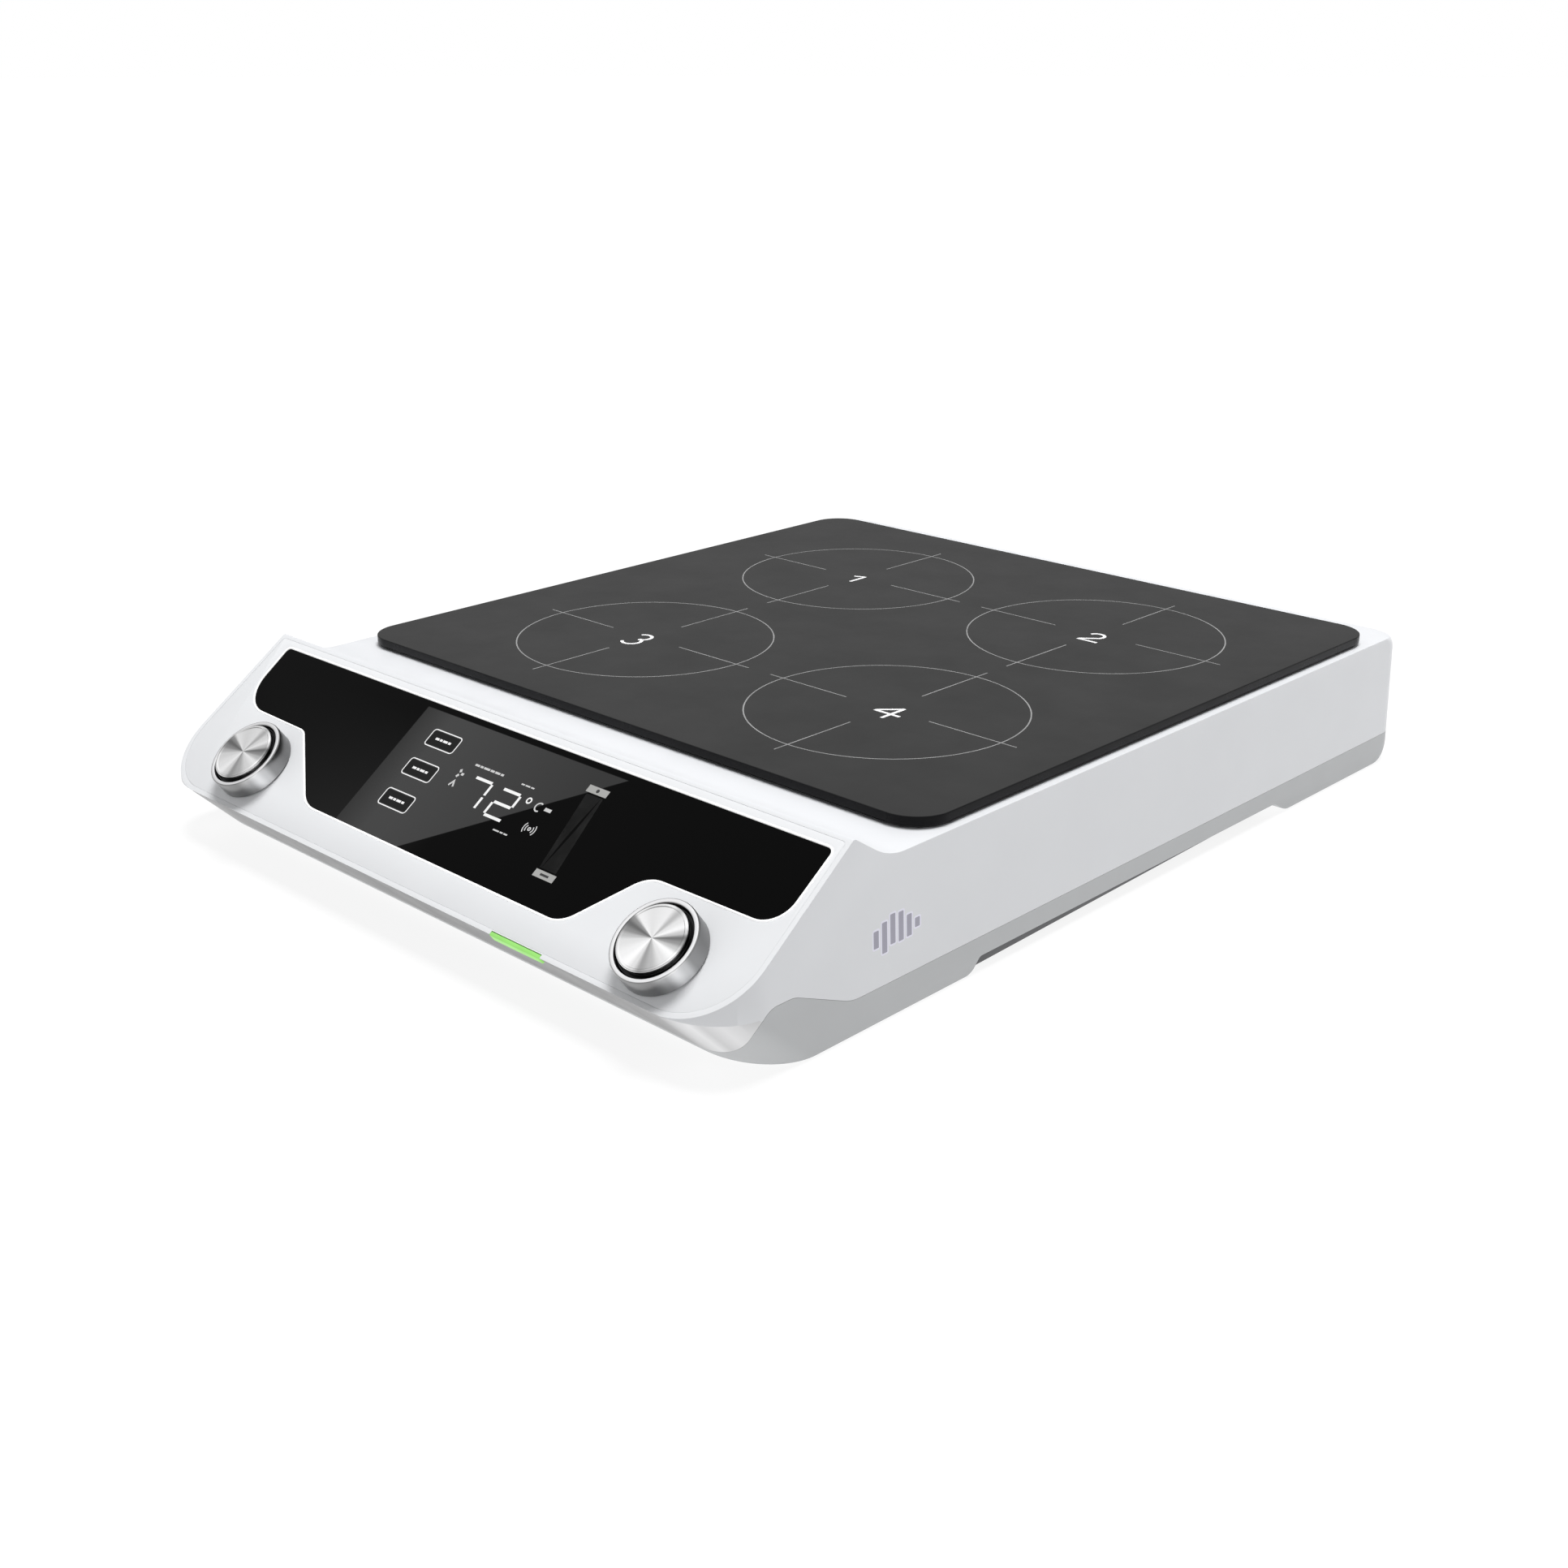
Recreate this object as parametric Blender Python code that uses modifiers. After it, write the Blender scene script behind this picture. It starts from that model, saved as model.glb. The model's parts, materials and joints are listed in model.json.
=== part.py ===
"""Four-place magnetic stirrer with a glass top, a sloped console and two rotary controls.

Sizes are in millimetres, and the helpers turn them into Blender's metres. +Z is up and the
front faces -Y. The origin is on the surface the stirrer stands on, at the middle of its plan.
"""

import math

import bmesh
import bpy
from mathutils import Matrix, Vector

MM = 0.001
GAP = 0.3
MERGE = 0.001

# Body, seen from above: a rounded rectangle whose walls lean in slightly towards the top.
FRONT_Y = -217.2
REAR_Y = 219.4
HALF_WIDTH_LOW = 167.2
HALF_WIDTH_HIGH = 164.3
CORNER_WIDTH = 28.0
REAR_CORNER = 12.6
FRONT_CORNER_STEPS = 7
REAR_CORNER_STEPS = 4

# Body, seen from the side.
BOTTOM_Z = 1.0
BODY_TOP_Z = 74.0
DECK_Z = 58.7
RIDGE_Y = -152.3
RIDGE_Z = 70.0
RIDGE_BACK = math.radians(34.0)
SLOPE = math.radians(36.0)
LIP_Z = RIDGE_Z - (RIDGE_Y - FRONT_Y) * math.tan(SLOPE)
SLOPE_LENGTH = (RIDGE_Y - FRONT_Y) / math.cos(SLOPE)
CORNER_DEPTH = CORNER_WIDTH * math.cos(SLOPE)
REAR_ROUND = 8.0
DECK_ROUND = 6.0
WALL = 2.5
REAR_WALL = 4.6
SLOPE_WALL = 5.4
SEAM_Z = 13.7
FLOOR_Z = 3.5
SHOULDER_Z = DECK_Z - DECK_ROUND
OUTER_HEIGHTS = (1.0, 2.1, 5.0, 9.0, LIP_Z)
SHOULDER_HEIGHTS = (SHOULDER_Z, SHOULDER_Z + 3.0, SHOULDER_Z + 5.2, DECK_Z)
TRAY_TOP_Z = 26.0
INNER_HEIGHTS = (FLOOR_Z, 9.0, LIP_Z, DECK_Z - WALL, BODY_TOP_Z - 0.5)
FAR = 200.0

# The shallow arch under the body, between the front and the rear feet.
ARCH_FRONT_Y = -87.4
ARCH_REAR_Y = 113.1
COVER_HALF = 164.3
ARCH_Z = 6.1

# Glass top and what lies under it.
PLATE_X = (-160.3, 161.3)
PLATE_Y = (-115.6, 196.3)
PLATE_CORNER = 15.5
PLATE_Z = (59.8, 63.4)
GASKET_Z = (59.0, 59.5)
SHEET_Z = (53.6, 57.3)
SHIELD_Z = (52.0, 53.2)
SHELF = 9.5

# Four stirring places on a square grid, numbered from the rear left to the front right.
PLACE_PITCH = 140.0
PLACE_CENTRE = (5.6, 36.0)
PLACE_STEPS = {1: (-0.5, 0.5), 2: (0.5, 0.5), 3: (-0.5, -0.5), 4: (0.5, -0.5)}
HEATER_RADIUS = 54.0
MOTOR_RADIUS = 26.0
ROTOR_RADIUS = 35.0
HUB_RADIUS = 7.0
MAGNET_LENGTH = 62.0
MAGNET_WIDTH = 14.0
MAGNET_Z = (40.3, 48.8)

# Console frame: x runs to the right, y up the slope from the ridge, z out of the sloped face.
FASCIA_INSET = 2.0
FASCIA_THICK = 2.4
KNOB_PLACES = {"left": (-114.8, -59.4), "right": (127.8, -60.9)}
KNOB_RADIUS = 16.3
KNOB_HEIGHT = 8.5
CORE_RADIUS = 14.1
CAP_RADIUS = 13.0
CAP_TOP = 10.0
SHAFT_RADIUS = 3.0
NECK_RADIUS = 4.8
LIGHT_X = (56.1, 82.6)

# Window in the console: corner x, corner y and corner radius.
WINDOW = (
    (-154.3, -5.8, 2.0),
    (-153.6, -36.4, 16.0),
    (-106.1, -37.4, 7.0),
    (-72.9, -65.6, 16.0),
    (79.9, -65.9, 12.0),
    (101.1, -38.3, 13.0),
    (159.7, -37.8, 10.5),
    (159.9, -5.9, 2.5),
)
TRIM_WIDTH = 0.9

# Seam between housing and base, seen from the side: y, z and corner radius.
SEAM = ((FAR + 40.0, SEAM_Z, 0.0), (-154.9, SEAM_Z, 20.0), (-181.9, 25.2, 12.0))
SEAM_FRONT = (-198.5, 25.2, 9.0)

# Sound slots in the right wall: y, lowest z and highest z.
SOUND_SLOTS = (
    (-142.6, 28.3, 34.5),
    (-138.4, 25.3, 36.4),
    (-134.2, 27.3, 38.1),
    (-130.0, 27.0, 37.6),
    (-125.8, 27.3, 35.2),
    (-121.6, 29.3, 32.7),
)
SOUND_SLOT_WIDTH = 2.2
SOUND_CENTRE = (-132.1, 32.0)

# Screws that hold the base to the housing: x, y and the top of each one's boss.
CASE_SCREWS = (
    (-155.0, -149.0, 63.0),
    (155.0, -149.0, 63.0),
    (-152.0, 199.0, 57.5),
    (152.0, 199.0, 57.5),
)
SCREW_HOLE = 1.9
FEET = {
    "front_left": (-138.0, -160.0),
    "front_right": (138.0, -160.0),
    "rear_left": (-138.0, 160.0),
    "rear_right": (138.0, 160.0),
}
FOOT_RADIUS = 8.8
STUDS = [(x, y) for y in (-78.0, 35.0, 108.0) for x in (-112.0, 122.0)]

# Rear fittings: x and z of each centre, and the width and height of each flange.
INLET = (-112.0, 36.0)
INLET_FLANGE = (32.0, 40.0)
SWITCH = (-78.0, 36.0)
SWITCH_FLANGE = (18.0, 27.0)
FLANGE_DEPTH = 1.8
FLANGE_STEP = 2.0
FITTING_FACE = REAR_Y - 0.1
FAN = (104.0, 35.5)
FAN_HALF = 19.5
FAN_DEPTH = 10.4
FAN_BORE = 18.2
FAN_BLADES = 7

for stale in list(bpy.data.objects):
    bpy.data.objects.remove(stale)

parts = bpy.data.collections.new("magnetic_stirrer")
cutters = bpy.data.collections.new("cutters")
for group in (parts, cutters):
    bpy.context.scene.collection.children.link(group)


# ---------------------------------------------------------------- materials

# Name, colour, roughness and metallic value.
WHITE = ("white_plastic", (0.86, 0.87, 0.89), 0.35, 0.0)
GREY = ("light_grey_plastic", (0.72, 0.74, 0.76), 0.4, 0.0)
BASE_GREY = ("base_grey_plastic", (0.42, 0.43, 0.44), 0.5, 0.0)
BLACK = ("black_plastic", (0.02, 0.02, 0.02), 0.45, 0.0)
RUBBER = ("black_rubber", (0.03, 0.03, 0.03), 0.8, 0.0)
TOP_GLASS = ("ceramic_glass", (0.07, 0.07, 0.07), 0.3, 0.0)
WINDOW_GLASS = ("window_glass", (0.005, 0.005, 0.005), 0.08, 0.0)
STEEL = ("steel", (0.55, 0.56, 0.58), 0.35, 1.0)
DARK_STEEL = ("dark_steel", (0.12, 0.12, 0.13), 0.5, 0.8)
ALUMINIUM = ("aluminium", (0.78, 0.79, 0.8), 0.25, 1.0)
MAGNET = ("magnet_nickel", (0.6, 0.6, 0.58), 0.2, 1.0)
MICA = ("mica_heater", (0.45, 0.33, 0.2), 0.6, 0.0)
FIBRE = ("ceramic_fibre", (0.85, 0.84, 0.8), 0.95, 0.0)
CIRCUIT = ("circuit_board", (0.03, 0.2, 0.07), 0.5, 0.0)
BRASS = ("brass", (0.75, 0.55, 0.25), 0.3, 1.0)
GREEN = ("green_light", (0.3, 0.8, 0.2), 0.4, 0.0)


def material(name, colour, roughness, metallic):
    """A Principled material, made once and shared by its name."""
    found = bpy.data.materials.get(name)
    if found:
        return found
    made = bpy.data.materials.new(name)
    made.use_nodes = True
    shader = made.node_tree.nodes["Principled BSDF"]
    shader.inputs["Base Color"].default_value = (*colour, 1.0)
    shader.inputs["Roughness"].default_value = roughness
    shader.inputs["Metallic"].default_value = metallic
    return made


# ---------------------------------------------------------------- helpers


def add_object(name, mesh, look=None, parent=None, location=(0, 0, 0), rotation=(0, 0, 0)):
    """A part from a mesh in millimetres, or a hidden cutter when it has no look."""
    mesh.transform(Matrix.Scale(MM, 4))
    made = bpy.data.objects.new(name, mesh)
    made.location = Vector(location) * MM
    made.rotation_euler = rotation
    made.parent = parent
    if look:
        parts.objects.link(made)
        mesh.materials.append(material(*look))
    else:
        cutters.objects.link(made)
        made.hide_render = True
        made.display_type = "WIRE"
    return made


def add_empty(name, location, rotation=(0, 0, 0), parent=None):
    made = bpy.data.objects.new(name, None)
    made.location = Vector(location) * MM
    made.rotation_euler = rotation
    made.parent = parent
    parts.objects.link(made)
    return made


def boolean(target, tool, operation="DIFFERENCE"):
    modifier = target.modifiers.new(tool.name, "BOOLEAN")
    modifier.operation = operation
    modifier.object = tool


def cut(target, mesh, parent=None, **place):
    boolean(target, add_object(mesh.name, mesh, None, parent, **place))


def join(target, mesh, parent=None, **place):
    boolean(target, add_object(mesh.name, mesh, None, parent, **place), "UNION")


def shade_round(target, degrees=35.0):
    target.data.shade_smooth()
    target.data.set_sharp_from_angle(angle=math.radians(degrees))


def offset_outline(outline, distance):
    """The outline of (x, y, radius) corners moved outwards by distance; it runs anticlockwise."""
    moved = []
    count = len(outline)
    for i, (x, y, radius) in enumerate(outline):
        here = Vector((x, y))
        before = (here - Vector(outline[i - 1][:2])).normalized()
        after = (Vector(outline[(i + 1) % count][:2]) - here).normalized()
        normal_before = Vector((before.y, -before.x))
        normal_after = Vector((after.y, -after.x))
        bisector = (normal_before + normal_after).normalized()
        place = here + bisector * (distance / bisector.dot(normal_after))
        grown = radius + math.copysign(distance, before.cross(after))
        moved.append((place.x, place.y, max(0.0, grown)))
    return moved


def round_corners(outline, steps=4):
    """Points of a closed outline whose corners (x, y, radius) are rounded by arcs."""
    points = []
    count = len(outline)
    for i, (x, y, radius) in enumerate(outline):
        here = Vector((x, y))
        if radius == 0:
            points.append(here)
            continue
        before = (Vector(outline[i - 1][:2]) - here).normalized()
        after = (Vector(outline[(i + 1) % count][:2]) - here).normalized()
        half_angle = before.angle(after) / 2
        centre = here + (before + after).normalized() * (radius / math.sin(half_angle))
        start = here + before * (radius / math.tan(half_angle)) - centre
        sweep = math.copysign(math.pi - 2 * half_angle, -before.cross(after))
        for step in range(steps + 1):
            points.append(centre + Matrix.Rotation(sweep * step / steps, 2) @ start)
    return points


def prism(name, outline, low, high, steps=4):
    """A mesh from an outline of rounded corners, extruded from z = low to z = high."""
    points = round_corners(outline, steps)
    curve = bpy.data.curves.new(name, "CURVE")
    curve.dimensions = "2D"
    curve.fill_mode = "BOTH"
    curve.extrude = (high - low) / 2
    spline = curve.splines.new("POLY")
    spline.points.add(len(points) - 1)
    for target, place in zip(spline.points, points):
        target.co = (place.x, place.y, 0.0, 1.0)
    spline.use_cyclic_u = True
    source = bpy.data.objects.new(name, curve)
    bpy.context.scene.collection.objects.link(source)
    evaluated = source.evaluated_get(bpy.context.evaluated_depsgraph_get())
    mesh = bpy.data.meshes.new_from_object(evaluated)
    bpy.data.objects.remove(source)
    bpy.data.curves.remove(curve)
    shape = bmesh.new()
    shape.from_mesh(mesh)
    bmesh.ops.remove_doubles(shape, verts=shape.verts, dist=MERGE)
    bmesh.ops.recalc_face_normals(shape, faces=shape.faces)
    bmesh.ops.translate(shape, verts=shape.verts, vec=(0, 0, (low + high) / 2))
    shape.to_mesh(mesh)
    shape.free()
    mesh.name = name
    mesh.materials.clear()
    return mesh


# Turns a prism's x, y and z into the world's y, z and x, or into x, z and -y.
ALONG_X = (math.pi / 2, 0.0, math.pi / 2)
ALONG_REAR = (math.pi / 2, 0.0, 0.0)


def rectangle(x_range, y_range, radius=0.0):
    (left, right), (front, rear) = x_range, y_range
    return [(x, y, radius) for x, y in ((left, front), (right, front), (right, rear), (left, rear))]


def boxes(name, corners):
    """One mesh of separate boxes, each (low corner, high corner)."""
    shape = bmesh.new()
    for low, high in corners:
        made = bmesh.ops.create_cube(shape, size=1.0)["verts"]
        low, high = Vector(low), Vector(high)
        bmesh.ops.scale(shape, verts=made, vec=high - low)
        bmesh.ops.translate(shape, verts=made, vec=(low + high) / 2)
    mesh = bpy.data.meshes.new(name)
    shape.to_mesh(mesh)
    shape.free()
    return mesh


def block(centre, size):
    """Low and high corners of a box from its centre and size."""
    half = Vector(size) / 2
    return Vector(centre) - half, Vector(centre) + half


def rods(name, places, radius, low, high, steps=16):
    """One mesh of separate upright cylinders of one size at the (x, y) places."""
    shape = bmesh.new()
    for x, y in places:
        made = bmesh.ops.create_cone(
            shape, cap_ends=True, segments=steps, radius1=radius, radius2=radius, depth=high - low
        )
        bmesh.ops.translate(shape, verts=made["verts"], vec=(x, y, (low + high) / 2))
    mesh = bpy.data.meshes.new(name)
    shape.to_mesh(mesh)
    shape.free()
    return mesh


def turned(name, profile, look, parent=None, location=(0, 0, 0), rotation=(0, 0, 0), steps=20):
    """A profile of (radius, z), outer side downwards, turned about local z."""
    points = [(radius, 0.0, z) for radius, z in profile]
    edges = [(i, i + 1) for i in range(len(points) - 1)]
    if profile[0][0] > 0:
        edges.append((len(points) - 1, 0))
    mesh = bpy.data.meshes.new(name)
    mesh.from_pydata(points, edges, [])
    made = add_object(name, mesh, look, parent, location, rotation)
    screw = made.modifiers.new("turn", "SCREW")
    screw.steps = steps
    screw.render_steps = steps
    screw.use_merge_vertices = True
    screw.merge_threshold = MERGE * MM
    shade_round(made)
    return made


def bevelled_box(name, low, high, width, look, parent=None):
    made = add_object(name, boxes(name, [(low, high)]), look, parent)
    bevel = made.modifiers.new("edges", "BEVEL")
    bevel.width = width * MM
    bevel.segments = 1
    return made


# ---------------------------------------------------------------- body shapes


def body_ring(z, inset, rear_inset):
    """Points of the body's section at height z, drawn in by inset, and by rear_inset behind."""
    rise = (z - BOTTOM_Z) / (BODY_TOP_Z - BOTTOM_Z)
    half_width = HALF_WIDTH_LOW + (HALF_WIDTH_HIGH - HALF_WIDTH_LOW) * rise - inset
    front = FRONT_Y + max(0.0, LIP_Z - z) + inset
    under = max(0.0, BOTTOM_Z + REAR_ROUND - z)
    over = min(DECK_ROUND, max(0.0, z - SHOULDER_Z - rear_inset))
    rear = REAR_Y - REAR_ROUND + math.sqrt(max(0.0, REAR_ROUND**2 - under**2)) - rear_inset
    rear += math.sqrt(DECK_ROUND**2 - over**2) - DECK_ROUND
    width, depth = CORNER_WIDTH - inset, CORNER_DEPTH - inset
    corner = REAR_CORNER - inset
    quarters = (
        (half_width - corner, rear - corner, corner, corner, REAR_CORNER_STEPS),
        (corner - half_width, rear - corner, corner, corner, REAR_CORNER_STEPS),
        (width - half_width, front + depth, width, depth, FRONT_CORNER_STEPS),
        (half_width - width, front + depth, width, depth, FRONT_CORNER_STEPS),
    )
    points = []
    for quarter, (x, y, across, along, steps) in enumerate(quarters):
        for step in range(steps + 1):
            angle = (quarter + step / steps) * math.pi / 2
            points.append((x + across * math.cos(angle), y + along * math.sin(angle), z))
    return points


def body_loft(name, heights, inset=0.0, rear_inset=0.0):
    """The body's closed outer form, or the cavity inside it, lofted through its sections."""
    shape = bmesh.new()
    rings = []
    for z in heights:
        verts = [shape.verts.new(place) for place in body_ring(z, inset, rear_inset)]
        rings.append([shape.edges.new((verts[i - 1], verts[i])) for i in range(len(verts))])
    for lower, upper in zip(rings, rings[1:]):
        bmesh.ops.bridge_loops(shape, edges=lower + upper)
    for ring in (rings[0], rings[-1]):
        bmesh.ops.edgeloop_fill(shape, edges=ring)
    bmesh.ops.recalc_face_normals(shape, faces=shape.faces)
    mesh = bpy.data.meshes.new(name)
    shape.to_mesh(mesh)
    shape.free()
    return mesh


def above_outline(drop, slope_drop):
    """The region over the deck, ridge and slope, lowered by drop and, on the slope, slope_drop."""
    deck = DECK_Z - drop
    ridge_y = RIDGE_Y + drop * 0.4
    ridge_z = RIDGE_Z - slope_drop / math.cos(SLOPE) + (ridge_y - RIDGE_Y) * math.tan(SLOPE)
    foot_y = ridge_y + (ridge_z - deck) / math.tan(RIDGE_BACK)
    reach = FRONT_Y - 20.0
    start_z = ridge_z - (ridge_y - reach) * math.tan(SLOPE)
    slope = [(reach, start_z, 0.0), (ridge_y, ridge_z, 0.0), (foot_y, deck, 26.0)]
    return [*slope, (REAR_Y + 20.0, deck, 0.0), (REAR_Y + 20.0, FAR, 0.0), (reach, FAR, 0.0)]


def below_outline(gap):
    """The region under the seam between housing and base, drawn in by gap."""
    top = [(y, z - gap, radius) for y, z, radius in SEAM]
    y, z, radius = SEAM_FRONT
    return [*top, (y + gap, z - gap, radius), (y + gap, -20.0, 0.0), (SEAM[0][0], -20.0, 0.0)]


def along_x(name, outline):
    """A cutter from an outline in (y, z), wider than the body."""
    return add_object(name, prism(name, outline, -FAR, FAR), rotation=ALONG_X)


above_body = along_x("above_body", above_outline(0.0, 0.0))
above_cavity = along_x("above_cavity", above_outline(WALL, SLOPE_WALL))
below_seam = along_x("below_seam", below_outline(0.0))
base_region = along_x("base_region", below_outline(GAP))
arch_step = boxes(
    "arch_step", [((-FAR, ARCH_FRONT_Y - 8.0, -10.0), (FAR, ARCH_REAR_Y + 8.0, ARCH_Z + WALL))]
)
cavity = add_object("cavity", body_loft("cavity", INNER_HEIGHTS, WALL, REAR_WALL))
boolean(cavity, above_cavity)
cut(cavity, arch_step)

console = add_empty("console_frame", (0, RIDGE_Y, RIDGE_Z), (SLOPE, 0, 0))
deck_opening = rectangle(
    (PLATE_X[0] + SHELF, PLATE_X[1] - SHELF), (PLATE_Y[0] + SHELF, PLATE_Y[1] - SHELF), 8.0
)


def slope_half_width(y):
    """Half the body's width at y on the slope, in the console frame."""
    rise = (RIDGE_Z + y * math.sin(SLOPE) - BOTTOM_Z) / (BODY_TOP_Z - BOTTOM_Z)
    return HALF_WIDTH_LOW + (HALF_WIDTH_HIGH - HALF_WIDTH_LOW) * rise


def fascia_outline(inset):
    """The sloped face's outline in the console frame, drawn in by inset."""
    high = slope_half_width(0.0) - inset
    low = slope_half_width(-SLOPE_LENGTH) - inset
    foot = inset - SLOPE_LENGTH
    corner = CORNER_WIDTH - inset
    return [(-high, -inset, 1.5), (-low, foot, corner), (low, foot, corner), (high, -inset, 1.5)]


# ---------------------------------------------------------------- upper housing


def sound_slots():
    """Upright slots with round ends through the right wall."""
    half = SOUND_SLOT_WIDTH / 2
    shape = bmesh.new()
    for y, low, high in SOUND_SLOTS:
        slot = prism("slot", rectangle((y - half, y + half), (low, high), half), 150.0, 175.0, 3)
        shape.from_mesh(slot)
        bpy.data.meshes.remove(slot)
    mesh = bpy.data.meshes.new("sound_slots")
    shape.to_mesh(mesh)
    shape.free()
    return mesh


def fan_slots():
    """A row of upright air slots in the rear wall behind the fan."""
    pitch, half, reach = 5.4, 1.3, 18.0
    slots = []
    for i in range(-3, 4):
        tall = math.sqrt(reach**2 - (i * pitch) ** 2)
        slots.append(block((FAN[0] + i * pitch, REAR_Y, FAN[1]), (2 * half, 16.0, 2 * tall)))
    return boxes("fan_slots", slots)


def make_upper_housing():
    heights = (*OUTER_HEIGHTS, *SHOULDER_HEIGHTS, BODY_TOP_Z)
    housing = add_object("upper_housing", body_loft("upper_housing", heights), WHITE)
    for tool in (above_body, cavity, below_seam):
        boolean(housing, tool)
    for i, (x, y, top) in enumerate(CASE_SCREWS, 1):
        join(housing, rods(f"screw_boss_{i}", [(x, y)], 4.5, 8.3, top))
    places = [(x, y) for x, y, _ in CASE_SCREWS]
    cut(housing, rods("boss_bores", places, SCREW_HOLE, 0.0, 30.0, 10))
    cut(housing, prism("deck_opening", deck_opening, 50.0, 65.0))
    recess = offset_outline(fascia_outline(FASCIA_INSET), GAP)
    cut(housing, prism("fascia_recess", recess, -FASCIA_THICK - GAP, 5.0, FRONT_CORNER_STEPS), console)
    cut(housing, prism("console_opening", fascia_outline(FASCIA_INSET + 5.0), -12.0, 0.0), console)
    left, right = LIGHT_X
    light = ((left - GAP, -SLOPE_LENGTH - 3.0, -3.7), (right + GAP, -SLOPE_LENGTH + 1.5, 2.0))
    cut(housing, boxes("light_slot", [light]), console)
    cut(housing, sound_slots(), rotation=ALONG_X)
    cut(housing, fan_slots())
    for kind, (x, z), (width, height) in (
        ("inlet", INLET, INLET_FLANGE),
        ("switch", SWITCH, SWITCH_FLANGE),
    ):
        wide, tall = width + 2 * GAP, height + 2 * GAP
        recess_depth = 2 * (FLANGE_DEPTH + GAP + 0.1)
        cut(housing, boxes(f"{kind}_recess", [block((x, REAR_Y, z), (wide, recess_depth, tall))]))
        hole = (wide - 2 * FLANGE_STEP, 20.0, tall - 2 * FLANGE_STEP)
        cut(housing, boxes(f"{kind}_hole", [block((x, REAR_Y, z), hole)]))


# ---------------------------------------------------------------- base


def make_base_tray():
    heights = (*OUTER_HEIGHTS, TRAY_TOP_Z)
    tray = add_object("base_tray", body_loft("base_tray", heights), BASE_GREY)
    boolean(tray, cavity)
    boolean(tray, base_region, "INTERSECT")
    low = -6.9
    arch = [
        (ARCH_FRONT_Y - (ARCH_Z - low), low, 0.0),
        (ARCH_REAR_Y + 22.0, low, 0.0),
        (ARCH_REAR_Y, ARCH_Z, 6.0),
        (ARCH_FRONT_Y, ARCH_Z, 4.0),
    ]
    boolean(tray, along_x("arch", arch))
    screws = [(x, y) for x, y, _ in CASE_SCREWS]
    join(tray, rods("screw_cups", screws, 6.5, 1.5, 8.0))
    cut(tray, rods("screw_pockets", screws, 3.6, -2.0, 4.5))
    cut(tray, rods("foot_pockets", FEET.values(), FOOT_RADIUS + 0.5, -2.0, 2.5, 20))
    cut(tray, rods("screw_holes", screws, SCREW_HOLE, -2.0, 12.0, 10))
    vents = [block((x, y, 0.0), (30.0, 3.0, 20.0)) for y in (-170.0, -154.0) for x in (-80.0, 80.0)]
    cut(tray, boxes("tray_vents", vents))


def make_bottom_cover():
    """A sheet under the arch with downward rims, and with air slots that go on through the tray."""
    front, rear = ARCH_FRONT_Y + 3.0, ARCH_REAR_Y - 3.0
    side = [(front, 5.8), (front - 6.8, 1.3), (front - 1.6, 1.2), (rear, 4.5), (rear, 5.8)]
    sheet = prism("bottom_cover", [(y, z, 0.0) for y, z in side], -COVER_HALF, COVER_HALF)
    cover = add_object("bottom_cover", sheet, DARK_STEEL, rotation=ALONG_X)
    inner = COVER_HALF - 2.0
    cut(cover, boxes("cover_hollow", [((-inner, front - 20.0, -5.0), (inner, rear - 2.0, 3.6))]))
    slots = [block((x, y, 0.0), (3.0, 28.0, 40.0)) for x in range(-30, 31, 15) for y in (-40.0, 60.0)]
    cut(cover, boxes("cover_vents", slots))
    boolean(bpy.data.objects["base_tray"], bpy.data.objects["cover_vents"])


def make_case_screws():
    """Four screws that come up through the base into the housing's bosses."""
    profile = [(0, 26.0), (1.5, 26.0), (1.5, 4.2), (3.2, 4.2), (3.2, 2.0), (0, 2.0)]
    for number, (x, y, _) in enumerate(CASE_SCREWS, 1):
        turned(f"case_screw_{number}", profile, STEEL, location=(x, y, 0), steps=10)


def make_feet():
    profile = [(0, 2.2), (FOOT_RADIUS, 2.2), (FOOT_RADIUS, 0.5), (FOOT_RADIUS - 0.5, 0.0), (0, 0.0)]
    for name, (x, y) in FEET.items():
        turned("foot_" + name, profile, RUBBER, location=(x, y, 0))


# ---------------------------------------------------------------- glass top


def make_top():
    plate = rectangle(PLATE_X, PLATE_Y, PLATE_CORNER)
    glass = add_object("glass_plate", prism("glass_plate", plate, *PLATE_Z, 8), TOP_GLASS)
    bevel = glass.modifiers.new("edges", "BEVEL")
    bevel.width = 0.4 * MM
    bevel.segments = 1
    seal = offset_outline(plate, -0.5)
    gasket = add_object("plate_gasket", prism("plate_gasket", seal, *GASKET_Z), RUBBER)
    cut(gasket, prism("gasket_hole", offset_outline(plate, 1.0 - SHELF), 50.0, 70.0))
    sheet = offset_outline(deck_opening, -1.5)
    add_object("insulation_sheet", prism("insulation_sheet", sheet, *SHEET_Z), FIBRE)
    shield = offset_outline(deck_opening, 4.0)
    add_object("heat_shield", prism("heat_shield", shield, *SHIELD_Z), ALUMINIUM)


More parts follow.
